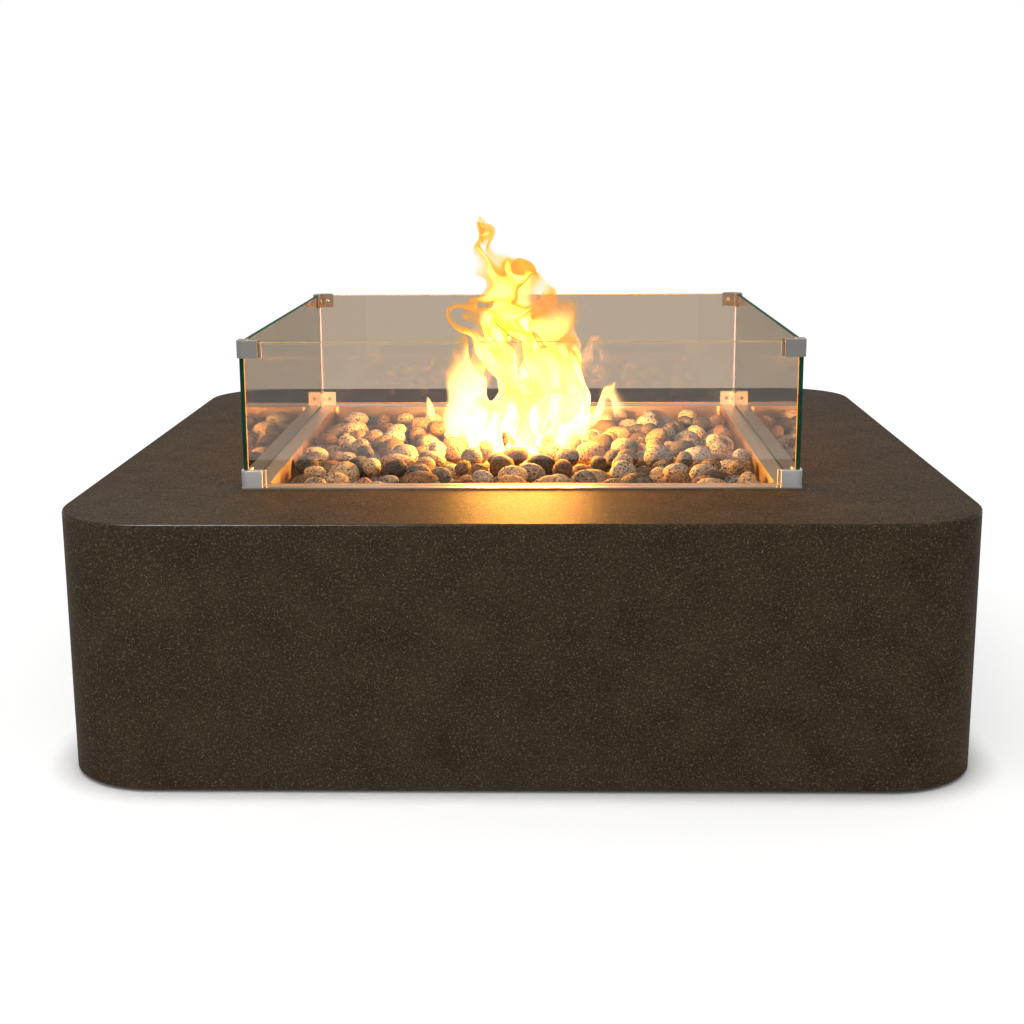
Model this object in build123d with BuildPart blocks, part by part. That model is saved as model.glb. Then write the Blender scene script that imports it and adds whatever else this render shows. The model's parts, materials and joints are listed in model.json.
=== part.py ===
from build123d import *
import math
import os
import random

import numpy as np

os.makedirs("parts", exist_ok=True)

# Square gas fire-pit table, in millimetres. The origin is on the floor under the middle of the
# table, +Z is up, the front faces -Y, and the controls and the access door are in the rear wall.

# Enclosure
body_width = 1219.0  # over the left and right walls
body_depth = 1219.0  # over the front and rear walls
body_height = 355.0  # lower edge of the walls to the table top
floor_gap = 5.0  # lower edge of the walls above the floor
corner_radius = 128.0  # upright corners, in plan
edge_radius = 4.0  # rolled edge between the walls and the top
sheet = 3.0  # steel sheet of walls and top
weld_gap = 0.3  # root gap where a welded part follows a round corner

# Rails welded inside the enclosure
top_rail = 25.0  # square tube under the table top
top_rail_wall = 2.0
top_rail_inset = 6.0  # rail back from the edge of the pan's cut-out
base_rail_width = 30.0  # flat bar along the foot of each wall
base_rail_thickness = 4.0

# Levelling feet
foot_inset = 90.0  # foot axis in from the walls' outer faces
foot_plate_size = 150.0  # corner plate, in from the walls' inner faces
foot_plate_thickness = 5.0
foot_pad_radius = 24.0
foot_pad_height = 8.0
foot_pad_chamfer = 2.0
foot_pad_floor = 3.0  # rubber under the end of the stem
foot_stem_radius = 5.0
foot_stem_length = 47.0
foot_hex_flats = 17.0
foot_hex_height = 4.0
foot_nut_flats = 17.0
foot_nut_height = 8.0
foot_stop_gap = 0.3  # stem's hexagon below its plate when the foot is screwed in
thread_gap = 0.15  # radial play of a screwed or sliding fit

# Burner pan
pan_opening = 712.0  # clear width between the pan's walls
pan_corner = 10.0
pan_sheet = 2.0
pan_depth = 52.0  # table top down to the pan's floor
pan_fit = 3.0  # pan's walls inside the cut-out
lip_width = 34.0  # flat lip around the pan's mouth
lip_corner = 4.0
weep_hole_radius = 5.0
weep_hole_inset = 60.0  # from the pan's walls

# Burner and its supply
burner_ring_radius = 140.0  # middle of the ring's tube
burner_tube_radius = 9.5
burner_tube_wall = 1.5
burner_spoke_radius = 8.0
burner_hub_radius = 18.0
burner_hub_height = 26.0
burner_port_radius = 1.5
burner_port_count = 28
nipple_radius = 10.6
nipple_bore_radius = 7.9
nipple_engagement = 14.0  # thread length in the hub and in the mixer
lock_nut_flats = 34.0
lock_nut_height = 8.0
mixer_radius = 17.0
mixer_length = 92.0
mixer_collar = 3.0  # step that the air shutter turns under
mixer_window_width = 12.0
mixer_window_height = 16.0
shutter_wall = 2.0
shutter_height = 30.0
shutter_play = 0.3
elbow_radius = 12.0
elbow_drop = 18.0  # mixer's foot down to the axis of the elbow's outlet
elbow_reach = 28.0  # burner axis to the elbow's outlet face

# Gas hose and leads under the pan
gas_hose_radius = 7.5
ignition_lead_radius = 2.5
thermocouple_lead_radius = 1.5
line_bend_share = 0.45  # of the shorter run beside a bend, taken up by the bend

# Pilot group beside the burner
pilot_radius = 112.0  # from the burner's axis, halfway between two spokes
pilot_spacing = 24.0  # electrode to thermocouple
pilot_bracket_length = 52.0
pilot_bracket_width = 26.0
pilot_bracket_thickness = 2.0
electrode_radius = 4.0
electrode_tip_radius = 1.5
thermocouple_radius = 3.0
thermocouple_round = 1.5
thermocouple_nut_radius = 5.0
pilot_rise = 26.0  # ceramic and probe above the pan's floor
pilot_tip = 10.0  # spark tip above the ceramic
pilot_tail = 24.0  # below the pan's floor

# Control niche in the rear wall
control_x = 260.0
control_z = 190.0
tray_width = 180.0
tray_height = 110.0
tray_depth = 46.0
tray_corner = 6.0
tray_sheet = 1.5
tray_flange = 16.0
control_spacing = 84.0  # knob axis to igniter axis

# Gas valve and knob
valve_width = 40.0
valve_height = 46.0
valve_depth = 36.0
valve_corner = 4.0
valve_collar_radius = 8.0
valve_collar_reach = 4.6  # collar past the niche's floor
valve_nut_flats = 24.0
valve_nut_height = 4.0
valve_stem_radius = 4.0
valve_stem_reach = 26.0  # stem's end past the niche's floor
valve_stem_depth = 20.0  # stem inside the valve body
valve_push = 4.0  # travel of the stem
valve_outlet_radius = 11.0
valve_outlet_length = 14.0
gas_inlet_radius = 14.0
gas_inlet_bore_radius = 9.3
gas_inlet_length = 18.0
knob_radius = 22.0
knob_length = 24.0
knob_gap = 9.5  # knob's rear face above the niche's floor, more than its travel and the collar
knob_recess_radius = 15.5
knob_recess_depth = 8.0
knob_flute_radius = 3.0
knob_flute_count = 12
knob_pointer_width = 3.0
knob_pointer_height = 1.2
knob_pointer_margin = 4.0  # pointer in from the knob's rim

# Igniter
button_radius = 10.0
button_length = 16.0
button_reach = 10.0  # button's face past the niche's floor
button_travel = 4.0
button_play = 0.4
button_round = 2.0
bezel_radius = 15.0
bezel_height = 4.0
igniter_radius = 15.0
igniter_length = 62.0
igniter_terminal_radius = 4.0
igniter_terminal_length = 8.0

# Access door in the rear wall
door_hinge_inset = 209.5  # hinge axis in from the left wall's outer face
door_z = 175.0
door_width = 410.0  # hinge axis to the free edge
door_height = 220.0
door_gap = 3.0
door_setback = 8.0  # door's face behind the wall's outer face
door_sheet = 2.0
door_return = 14.0  # depth of the door's folded edges
door_barrel_gap = 1.6  # door's folded edge clear of the hinge barrels
door_slot_length = 90.0
door_slot_height = 8.0
door_slot_spacing = 104.0  # one column of slots to the next
door_slot_pitch = 22.0
door_slot_rows = 5
door_slot_columns = 3
finger_slot_length = 64.0
finger_slot_width = 24.0
finger_slot_inset = 34.0  # from the door's free edge
hinge_barrel_radius = 4.0
hinge_pin_radius = 2.0
hinge_leaf_width = 28.0
hinge_leaf_thickness = 2.0
hinge_length = 50.0
hinge_spacing = 140.0
hinge_knuckle = 17.4  # middle knuckle, on the door
hinge_play = 0.3
hinge_jamb = 6.0  # edge of the opening back from the hinge axis
catch_width = 36.0
catch_sheet = 2.0
catch_foot = 24.0
magnet_length = 15.0
magnet_thickness = 10.0
magnet_gap = 0.3

# Vents in the side walls
vent_width = 300.0
vent_height = 64.0
vent_z = 105.0
vent_lap = 16.0  # grille behind the wall around the opening
vent_sheet = 2.0
vent_slot_width = 6.0
vent_slot_height = 50.0
vent_slot_count = 22

# Flush screws in the walls
screw_radius = 2.0
screw_head_radius = 4.0
screw_length = 9.0
screw_play = 0.2
screw_socket = 2.5  # across the flats of the key's hole
screw_socket_depth = 1.2

# Wind guard
glass_thickness = 6.0
glass_height = 200.0
glass_chamfer = 0.7
glass_fit = 0.3  # each side of a panel in its clips
clip_height = 24.0
clip_outer_wall = 2.5
clip_inner_wall = 3.5
clip_outer_leg = 30.0
clip_inner_leg = 34.0
clip_floor = 2.5  # under or over the panels
clip_round = 9.0  # outer upright corner
clip_end_stop = 10.0  # ends of the panels in from the clip's outer faces
clip_edge = 0.5
guard_screw_radius = 2.0
guard_screw_head_radius = 3.5
guard_screw_head_height = 2.2
guard_screw_round = 1.0
guard_screw_gap = 0.2  # screw's tip short of the glass

# Lava stones
stone_length_range = (32.0, 70.0)
stone_length_common = 50.0
stone_flatness_range = (0.62, 0.86)  # short axis over long axis
stone_tilt = 24.0  # degrees from lying flat, at most
stone_oblate_share = 0.35  # share of disc-like stones among egg-like ones
stone_gap = 0.9  # least lateral room between two stones
stone_seat = 0.3  # upright room between a stone and what carries it
stone_level = 55.0  # top of the bed at the pan's walls, above the pan's floor
stone_crown = 9.0  # the bed is this much higher over the burner
stone_places = 220  # places tried for each stone
stone_patience = 60  # stones in a row that find no room before the pan is full
stone_cell = 1.0  # step of the height grid that the stones are dropped on
stone_pole = 4.0  # degrees of the profile left flat at each end of a stone's axis
stone_bands = 3  # arcs of the profile, each of which turns into a face of its own
stone_seed = 11
stone_shares = {"grey": 0.5, "tan": 0.28, "rust": 0.22}

# Levels and planes that follow from the sizes above
top_z = floor_gap + body_height
lip_z = top_z + pan_sheet
pan_floor_z = top_z - pan_depth
pan_under_z = pan_floor_z - pan_sheet
lip_size = pan_opening + 2 * lip_width
pan_body = pan_opening + 2 * pan_sheet
cutout = pan_body + 2 * pan_fit
inner_width = body_width - 2 * sheet
inner_depth = body_depth - 2 * sheet
door_hinge_x = door_hinge_inset - body_width / 2
rear_wall = Plane(origin=(0, body_depth / 2, 0), x_dir=(-1, 0, 0), z_dir=(0, 1, 0))
left_wall = Plane(origin=(-body_width / 2, 0, 0), x_dir=(0, -1, 0), z_dir=(-1, 0, 0))
right_wall = Plane(origin=(body_width / 2, 0, 0), x_dir=(0, 1, 0), z_dir=(1, 0, 0))
niche_floor = rear_wall.offset(-sheet - tray_depth)
niche_back = niche_floor.offset(-tray_sheet)
knob_x = control_x - control_spacing / 2
igniter_x = control_x + control_spacing / 2


def write(name, piece):
    """Labels a finished piece and writes it to its own file."""
    piece.label = name
    export_step(piece, f"parts/{name}.step")


def rear_spot(x, z):
    """A place on the rear wall, in that wall's own directions."""
    return (-x, z)


def corners(width, height):
    """The four corners of a rectangle about its middle."""
    return [(sx * width / 2, sy * height / 2) for sx in (-1, 1) for sy in (-1, 1)]


# Flush screw, its head in the plane's own XY and its shank towards -Z
with BuildPart() as flush_screw:
    with BuildSketch(Plane.XZ):
        with BuildLine():
            Polyline(
                (0, 0),
                (screw_head_radius, 0),
                (screw_radius, screw_radius - screw_head_radius),
                (screw_radius, -screw_length),
                (0, -screw_length),
                close=True,
            )
        make_face()
    revolve(axis=Axis.Z)
    with BuildSketch(Plane.XY):
        RegularPolygon(screw_socket / 2, 6, major_radius=False)
    extrude(amount=-screw_socket_depth, mode=Mode.SUBTRACT)

tray_screw_spots = [
    rear_wall * Pos(-control_x + dx, control_z + dy, 0)
    for dx, dy in corners(tray_width + tray_flange, tray_height + tray_flange)
]
vent_screw_spots = [
    wall * Pos(dx, vent_z + dy, 0)
    for wall in (left_wall, right_wall)
    for dx, dy in corners(vent_width + vent_lap, vent_height + vent_lap)
]

# Enclosure: top, four walls and round corners in one welded and ground shell, open below
with BuildPart() as enclosure_shell:
    with BuildSketch(Plane.XY.offset(floor_gap)):
        RectangleRounded(body_width, body_depth, corner_radius)
    extrude(amount=body_height)
    fillet(enclosure_shell.edges().group_by(Axis.Z)[-1], edge_radius)
    with BuildSketch(Plane.XY.offset(floor_gap)):
        RectangleRounded(inner_width, inner_depth, corner_radius - sheet)
    extrude(amount=body_height - sheet, mode=Mode.SUBTRACT)
    with BuildSketch(Plane.XY.offset(top_z)):
        RectangleRounded(cutout, cutout, pan_corner + pan_sheet + pan_fit)
    extrude(amount=-sheet, mode=Mode.SUBTRACT)
    with BuildSketch(rear_wall):
        with Locations(rear_spot(control_x, control_z)):
            RectangleRounded(tray_width, tray_height, tray_corner)
        with Locations(rear_spot(door_hinge_x - hinge_jamb, door_z)):
            Rectangle(
                hinge_jamb + door_width + door_gap,
                door_height + 2 * door_gap,
                align=(Align.MAX, Align.CENTER),
            )
    extrude(amount=-sheet, mode=Mode.SUBTRACT)
    for wall in (left_wall, right_wall):
        with BuildSketch(wall):
            with Locations((0, vent_z)):
                RectangleRounded(vent_width, vent_height, tray_corner)
        extrude(amount=-sheet, mode=Mode.SUBTRACT)
    with Locations(*tray_screw_spots, *vent_screw_spots):
        CounterSinkHole(
            radius=screw_radius + screw_play,
            counter_sink_radius=screw_head_radius + screw_play,
            depth=2 * sheet,
            counter_sink_angle=90,
        )
write("enclosure_shell", enclosure_shell.part)

# Square tubes under the table top: two from wall to wall, two short ones between them
rail_offset = cutout / 2 + top_rail_inset + top_rail / 2
rail_z = top_z - sheet - top_rail / 2
rail_bore = top_rail - 2 * top_rail_wall
with BuildPart() as top_rails:
    for side in (-1, 1):
        with BuildSketch(Plane.YZ.offset(-inner_width / 2)):
            with Locations((side * rail_offset, rail_z)):
                Rectangle(top_rail, top_rail)
                Rectangle(rail_bore, rail_bore, mode=Mode.SUBTRACT)
        extrude(amount=inner_width)
    between = 2 * rail_offset - top_rail - 2 * weld_gap
    for side in (-1, 1):
        with BuildSketch(Plane.XZ.offset(-between / 2)):
            with Locations((side * rail_offset, rail_z)):
                Rectangle(top_rail, top_rail)
                Rectangle(rail_bore, rail_bore, mode=Mode.SUBTRACT)
        extrude(amount=between)
write("top_rails", top_rails.part)

# Flat bars along the straight foot of each wall
with BuildPart() as base_rails:
    with BuildSketch(Plane.XY.offset(floor_gap)):
        with Locations((0, inner_depth / 2), (0, base_rail_width - inner_depth / 2)):
            Rectangle(body_width - 2 * corner_radius, base_rail_width, align=(Align.CENTER, Align.MAX))
        with Locations((inner_width / 2, 0), (base_rail_width - inner_width / 2, 0)):
            Rectangle(base_rail_width, body_depth - 2 * corner_radius, align=(Align.MAX, Align.CENTER))
    extrude(amount=base_rail_thickness)
write("base_rails", base_rails.part)

# Levelling feet: corner plates with weld nuts, and in each a threaded stem on a rubber pad
foot_plate_z = foot_pad_height + foot_hex_height + foot_stop_gap
foot_spots = {
    "front_left": (foot_inset - body_width / 2, foot_inset - body_depth / 2),
    "front_right": (body_width / 2 - foot_inset, foot_inset - body_depth / 2),
    "rear_left": (foot_inset - body_width / 2, body_depth / 2 - foot_inset),
    "rear_right": (body_width / 2 - foot_inset, body_depth / 2 - foot_inset),
}
plate_spots = corners(inner_width - foot_plate_size, inner_depth - foot_plate_size)
# The larger round keeps the plates a weld gap clear of the walls' round corners.
plate_round = corner_radius - sheet + weld_gap / (math.sqrt(2) - 1)
with BuildPart() as foot_plates:
    with BuildSketch(Plane.XY.offset(foot_plate_z)):
        RectangleRounded(inner_width, inner_depth, plate_round)
        with Locations(*plate_spots):
            Rectangle(foot_plate_size, foot_plate_size, mode=Mode.INTERSECT)
        with Locations(*foot_spots.values()):
            Circle(foot_stem_radius + thread_gap, mode=Mode.SUBTRACT)
    extrude(amount=foot_plate_thickness)
write("foot_plates", foot_plates.part)

with BuildPart() as foot_nuts:
    with BuildSketch(Plane.XY.offset(foot_plate_z + foot_plate_thickness)):
        with Locations(*foot_spots.values()):
            RegularPolygon(foot_nut_flats / 2, 6, major_radius=False)
            Circle(foot_stem_radius + thread_gap, mode=Mode.SUBTRACT)
    extrude(amount=foot_nut_height)
write("foot_nuts", foot_nuts.part)

for corner, (foot_x, foot_y) in foot_spots.items():
    with BuildPart() as foot_stem:
        with BuildSketch(Plane((foot_x, foot_y, foot_pad_floor))):
            Circle(foot_stem_radius)
        extrude(amount=foot_stem_length)
        with BuildSketch(Plane((foot_x, foot_y, foot_pad_height))):
            RegularPolygon(foot_hex_flats / 2, 6, major_radius=False)
        extrude(amount=foot_hex_height)
    write(f"foot_stem_{corner}", foot_stem.part)

    with BuildPart() as foot_pad:
        with BuildSketch(Plane((foot_x, foot_y, 0))):
            Circle(foot_pad_radius)
        extrude(amount=foot_pad_height)
        chamfer(foot_pad.edges().group_by(Axis.Z)[-1], foot_pad_chamfer)
        with BuildSketch(Plane((foot_x, foot_y, foot_pad_height))):
            Circle(foot_stem_radius + thread_gap)
        extrude(amount=foot_pad_floor - foot_pad_height, mode=Mode.SUBTRACT)
    write(f"foot_pad_{corner}", foot_pad.part)

# Burner pan: folded stainless tub whose lip lies on the table top
pilot_spot = pilot_radius / math.sqrt(2)
electrode_xy = (pilot_spot - pilot_spacing / 2, pilot_spot)
thermocouple_xy = (pilot_spot + pilot_spacing / 2, pilot_spot)
weep_span = pan_opening - 2 * weep_hole_inset
with BuildPart() as burner_pan:
    with BuildSketch(Plane.XY.offset(top_z)):
        RectangleRounded(lip_size, lip_size, lip_corner)
    extrude(amount=pan_sheet)
    with BuildSketch(Plane.XY.offset(pan_under_z)):
        RectangleRounded(pan_body, pan_body, pan_corner + pan_sheet)
    extrude(amount=pan_depth + pan_sheet)
    with BuildSketch(Plane.XY.offset(pan_floor_z)):
        RectangleRounded(pan_opening, pan_opening, pan_corner)
    extrude(amount=pan_depth + pan_sheet, mode=Mode.SUBTRACT)
    with BuildSketch(Plane.XY.offset(pan_floor_z)):
        Circle(nipple_radius + thread_gap)
        with Locations(*corners(weep_span, weep_span)):
            Circle(weep_hole_radius)
        with Locations(electrode_xy):
            Circle(electrode_radius + thread_gap)
        with Locations(thermocouple_xy):
            Circle(thermocouple_radius + thread_gap)
    extrude(amount=-pan_sheet, mode=Mode.SUBTRACT)
write("burner_pan", burner_pan.part)

# Ring burner: a tube ring, two crossing spokes and a threaded hub, all hollow
hub_z = pan_floor_z + lock_nut_height
tube_z = hub_z + burner_hub_height / 2
port_step = 360 / burner_port_count
# The ring's seam lies halfway between two ports, clear of the spokes.
ring_section = Plane.XZ.rotated((0, 0, port_step * (burner_port_count // 8)))
with BuildPart() as burner_ring:
    with BuildSketch(ring_section):
        with Locations((burner_ring_radius, tube_z)):
            Circle(burner_tube_radius)
    revolve(axis=Axis.Z)
    for plane in (Plane.XZ, Plane.YZ):
        with BuildSketch(plane.offset(-burner_ring_radius)):
            with Locations((0, tube_z)):
                Circle(burner_spoke_radius)
        extrude(amount=2 * burner_ring_radius)
    with BuildSketch(Plane.XY.offset(hub_z)):
        Circle(burner_hub_radius)
    extrude(amount=burner_hub_height)
    with BuildSketch(ring_section):
        with Locations((burner_ring_radius, tube_z)):
            Circle(burner_tube_radius - burner_tube_wall)
    revolve(axis=Axis.Z, mode=Mode.SUBTRACT)
    for plane in (Plane.XZ, Plane.YZ):
        with BuildSketch(plane.offset(-burner_ring_radius)):
            with Locations((0, tube_z)):
                Circle(burner_spoke_radius - burner_tube_wall)
        extrude(amount=2 * burner_ring_radius, mode=Mode.SUBTRACT)
    with BuildSketch(Plane.XY.offset(hub_z)):
        Circle(nipple_radius + thread_gap)
    extrude(amount=nipple_engagement, mode=Mode.SUBTRACT)
    with BuildSketch(Plane.XY.offset(tube_z)):
        with PolarLocations(burner_ring_radius, burner_port_count, start_angle=port_step / 2):
            Circle(burner_port_radius)
    extrude(amount=2 * burner_tube_radius, mode=Mode.SUBTRACT)
write("burner_ring", burner_ring.part)

# Threaded pipe from the mixer up through the pan's floor into the hub
mixer_top_z = pan_under_z - lock_nut_height
nipple_low_z = mixer_top_z - nipple_engagement + thread_gap
nipple_high_z = hub_z + nipple_engagement - thread_gap
with BuildPart() as burner_nipple:
    with BuildSketch(Plane.XY.offset(nipple_low_z)):
        Circle(nipple_radius)
        Circle(nipple_bore_radius, mode=Mode.SUBTRACT)
    extrude(amount=nipple_high_z - nipple_low_z)
write("burner_nipple", burner_nipple.part)

with BuildPart() as pan_lock_nuts:
    for nut_z in (pan_floor_z, mixer_top_z):
        with BuildSketch(Plane.XY.offset(nut_z)):
            RegularPolygon(lock_nut_flats / 2, 6, major_radius=False)
            Circle(nipple_radius + thread_gap, mode=Mode.SUBTRACT)
        extrude(amount=lock_nut_height)
write("pan_lock_nuts", pan_lock_nuts.part)

# Air mixer: venturi body with four air windows, closed more or less by a turning sleeve
mixer_low_z = mixer_top_z - mixer_length
shutter_z = mixer_low_z + (mixer_length - nipple_engagement) / 2
shutter_radius = mixer_radius + shutter_play
with BuildPart() as air_mixer:
    with BuildSketch(Plane.XY.offset(mixer_low_z)):
        Circle(mixer_radius)
    extrude(amount=mixer_length)
    for collar_z in (shutter_z - shutter_height / 2 - shutter_play - mixer_collar,
                     shutter_z + shutter_height / 2 + shutter_play):
        with BuildSketch(Plane.XY.offset(collar_z)):
            Circle(shutter_radius + shutter_wall)
        extrude(amount=mixer_collar)
    with BuildSketch(Plane.XY.offset(mixer_low_z)):
        Circle(nipple_bore_radius)
    extrude(amount=mixer_length, mode=Mode.SUBTRACT)
    with BuildSketch(Plane.XY.offset(mixer_top_z)):
        Circle(nipple_radius + thread_gap)
    extrude(amount=-nipple_engagement, mode=Mode.SUBTRACT)
    for plane in (Plane.XZ, Plane.YZ):
        with BuildSketch(plane.offset(-mixer_radius)):
            with Locations((0, shutter_z)):
                Rectangle(mixer_window_width, mixer_window_height)
        extrude(amount=2 * mixer_radius, mode=Mode.SUBTRACT)
write("air_mixer", air_mixer.part)

with BuildPart() as air_shutter:
    with BuildSketch(Plane.XY.offset(shutter_z - shutter_height / 2)):
        Circle(shutter_radius + shutter_wall)
        Circle(shutter_radius, mode=Mode.SUBTRACT)
    extrude(amount=shutter_height)
    for plane in (Plane.XZ, Plane.YZ):
        with BuildSketch(plane.offset(-shutter_radius - shutter_wall)):
            with Locations((0, shutter_z)):
                Rectangle(mixer_window_width, mixer_window_height)
        extrude(amount=2 * (shutter_radius + shutter_wall), mode=Mode.SUBTRACT)
write("air_shutter", air_shutter.part)

# Brass elbow under the mixer, its outlet towards the rear
elbow_z = mixer_low_z - elbow_drop
with BuildPart() as burner_elbow:
    with BuildSketch(Plane.XY.offset(mixer_low_z)):
        Circle(elbow_radius)
    extrude(amount=-elbow_drop)
    with BuildSketch(Plane.XZ.offset(-elbow_reach)):
        with Locations((0, elbow_z)):
            Circle(elbow_radius)
    extrude(amount=elbow_reach)
    with Locations((0, 0, elbow_z)):
        Sphere(elbow_radius)
    with BuildSketch(Plane.XY.offset(mixer_low_z)):
        Circle(nipple_bore_radius)
    extrude(amount=-elbow_drop, mode=Mode.SUBTRACT)
write("burner_elbow", burner_elbow.part)

# Pilot group: bracket on the pan's floor, ceramic spark electrode and thermocouple
with BuildPart() as pilot_bracket:
    with BuildSketch(Plane.XY.offset(pan_floor_z)):
        with Locations((pilot_spot, pilot_spot)):
            Rectangle(pilot_bracket_length, pilot_bracket_width)
        with Locations(electrode_xy):
            Circle(electrode_radius + thread_gap, mode=Mode.SUBTRACT)
        with Locations(thermocouple_xy):
            Circle(thermocouple_radius + thread_gap, mode=Mode.SUBTRACT)
    extrude(amount=pilot_bracket_thickness)
write("pilot_bracket", pilot_bracket.part)

electrode_low_z = pan_under_z - pilot_tail
with BuildPart() as spark_electrode:
    with BuildSketch(Plane.XY.offset(electrode_low_z)):
        with Locations(electrode_xy):
            Circle(electrode_radius)
    extrude(amount=pilot_tail + pan_sheet + pilot_rise)
    with BuildSketch(Plane.XY.offset(pan_floor_z + pilot_rise)):
        with Locations(electrode_xy):
            Circle(electrode_tip_radius)
    extrude(amount=pilot_tip)
write("spark_electrode", spark_electrode.part)

with BuildPart() as thermocouple:
    with BuildSketch(Plane.XY.offset(electrode_low_z)):
        with Locations(thermocouple_xy):
            Circle(thermocouple_radius)
    extrude(amount=pilot_tail + pan_sheet + pilot_rise)
    fillet(thermocouple.edges().group_by(Axis.Z)[-1], thermocouple_round)
    with BuildSketch(Plane.XY.offset(pan_under_z)):
        with Locations(thermocouple_xy):
            Circle(thermocouple_nut_radius)
    extrude(amount=-lock_nut_height)
write("thermocouple", thermocouple.part)

# Control niche: folded tray behind the rear wall, with holes for the valve and the igniter
with BuildPart() as control_tray:
    with BuildSketch(rear_wall.offset(-sheet)):
        with Locations(rear_spot(control_x, control_z)):
            Rectangle(tray_width + 2 * tray_flange, tray_height + 2 * tray_flange)
    extrude(amount=-tray_sheet)
    with BuildSketch(rear_wall.offset(-sheet)):
        with Locations(rear_spot(control_x, control_z)):
            RectangleRounded(
                tray_width + 2 * tray_sheet,
                tray_height + 2 * tray_sheet,
                tray_corner + tray_sheet,
            )
    extrude(amount=-tray_depth - tray_sheet)
    with BuildSketch(rear_wall.offset(-sheet)):
        with Locations(rear_spot(control_x, control_z)):
            RectangleRounded(tray_width, tray_height, tray_corner)
    extrude(amount=-tray_depth, mode=Mode.SUBTRACT)
    with BuildSketch(niche_floor):
        with Locations(rear_spot(knob_x, control_z)):
            Circle(valve_collar_radius + thread_gap)
        with Locations(rear_spot(igniter_x, control_z)):
            Circle(button_radius + button_play)
    extrude(amount=-tray_sheet, mode=Mode.SUBTRACT)
    with Locations(*[spot * Pos(0, 0, -sheet) for spot in tray_screw_spots]):
        Hole(screw_radius + screw_play, depth=2 * tray_sheet)
write("control_tray", control_tray.part)

with BuildPart() as tray_screws:
    with Locations(*tray_screw_spots):
        add(flush_screw.part)
write("tray_screws", tray_screws.part)

# Gas valve behind the niche: collar through its floor, outlet forwards, supply port downwards
valve_inlet = Plane(
    origin=(knob_x, niche_back.origin.Y - valve_depth / 2, control_z - valve_height / 2),
    x_dir=(1, 0, 0),
    z_dir=(0, 0, -1),
)
with BuildPart() as gas_valve:
    with BuildSketch(niche_back):
        with Locations(rear_spot(knob_x, control_z)):
            RectangleRounded(valve_width, valve_height, valve_corner)
    extrude(amount=-valve_depth)
    with BuildSketch(niche_back):
        with Locations(rear_spot(knob_x, control_z)):
            Circle(valve_collar_radius)
    extrude(amount=tray_sheet + valve_collar_reach)
    with BuildSketch(niche_back.offset(-valve_depth)):
        with Locations(rear_spot(knob_x, control_z)):
            Circle(valve_outlet_radius)
    extrude(amount=-valve_outlet_length)
    with BuildSketch(valve_inlet):
        Circle(gas_inlet_radius)
    extrude(amount=gas_inlet_length)
    with BuildSketch(valve_inlet.offset(gas_inlet_length)):
        Circle(gas_inlet_bore_radius)
    extrude(amount=-gas_inlet_length, mode=Mode.SUBTRACT)
    with BuildSketch(niche_floor.offset(valve_collar_reach)):
        with Locations(rear_spot(knob_x, control_z)):
            Circle(valve_stem_radius + thread_gap)
    extrude(
        amount=-valve_collar_reach - tray_sheet - valve_stem_depth - valve_push - thread_gap,
        mode=Mode.SUBTRACT,
    )
write("gas_valve", gas_valve.part)

with BuildPart() as valve_nut:
    with BuildSketch(niche_floor):
        with Locations(rear_spot(knob_x, control_z)):
            RegularPolygon(valve_nut_flats / 2, 6, major_radius=False)
            Circle(valve_collar_radius + thread_gap, mode=Mode.SUBTRACT)
    extrude(amount=valve_nut_height)
write("valve_nut", valve_nut.part)

with BuildPart() as valve_stem:
    with BuildSketch(niche_floor.offset(valve_stem_reach)):
        with Locations(rear_spot(knob_x, control_z)):
            Circle(valve_stem_radius)
    extrude(amount=-valve_stem_reach - tray_sheet - valve_stem_depth)
write("valve_stem", valve_stem.part)

# Control knob: fluted rim, hollow rear, raised pointer on its face
knob_base = niche_floor.offset(knob_gap)
knob_face = knob_base.offset(knob_length)
with BuildPart() as control_knob:
    with BuildSketch(knob_base):
        with Locations(rear_spot(knob_x, control_z)):
            Circle(knob_radius)
            with PolarLocations(knob_radius + knob_flute_radius / 2, knob_flute_count):
                Circle(knob_flute_radius, mode=Mode.SUBTRACT)
    extrude(amount=knob_length)
    with BuildSketch(knob_base):
        with Locations(rear_spot(knob_x, control_z)):
            Circle(knob_recess_radius)
    extrude(amount=knob_recess_depth, mode=Mode.SUBTRACT)
    with BuildSketch(knob_base):
        with Locations(rear_spot(knob_x, control_z)):
            Circle(valve_stem_radius + thread_gap)
    extrude(amount=valve_stem_reach - knob_gap + thread_gap, mode=Mode.SUBTRACT)
    with BuildSketch(knob_face):
        with Locations(rear_spot(knob_x, control_z)):
            Rectangle(
                knob_pointer_width,
                knob_radius - knob_pointer_margin,
                align=(Align.CENTER, Align.MIN),
            )
    extrude(amount=knob_pointer_height)
write("control_knob", control_knob.part)

# Igniter: module behind the niche, bezel on its floor, button in the bezel
with BuildPart() as igniter_module:
    with BuildSketch(niche_back):
        with Locations(rear_spot(igniter_x, control_z)):
            Circle(igniter_radius)
    extrude(amount=-igniter_length)
    with BuildSketch(niche_back.offset(-igniter_length)):
        with Locations(rear_spot(igniter_x, control_z)):
            Circle(igniter_terminal_radius)
    extrude(amount=-igniter_terminal_length)
    with BuildSketch(niche_back):
        with Locations(rear_spot(igniter_x, control_z)):
            Circle(button_radius + button_play)
    extrude(
        amount=button_reach + tray_sheet - button_length - button_travel - button_play,
        mode=Mode.SUBTRACT,
    )
write("igniter_module", igniter_module.part)

with BuildPart() as igniter_bezel:
    with BuildSketch(niche_floor):
        with Locations(rear_spot(igniter_x, control_z)):
            Circle(bezel_radius)
            Circle(button_radius + button_play, mode=Mode.SUBTRACT)
    extrude(amount=bezel_height)
write("igniter_bezel", igniter_bezel.part)

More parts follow.
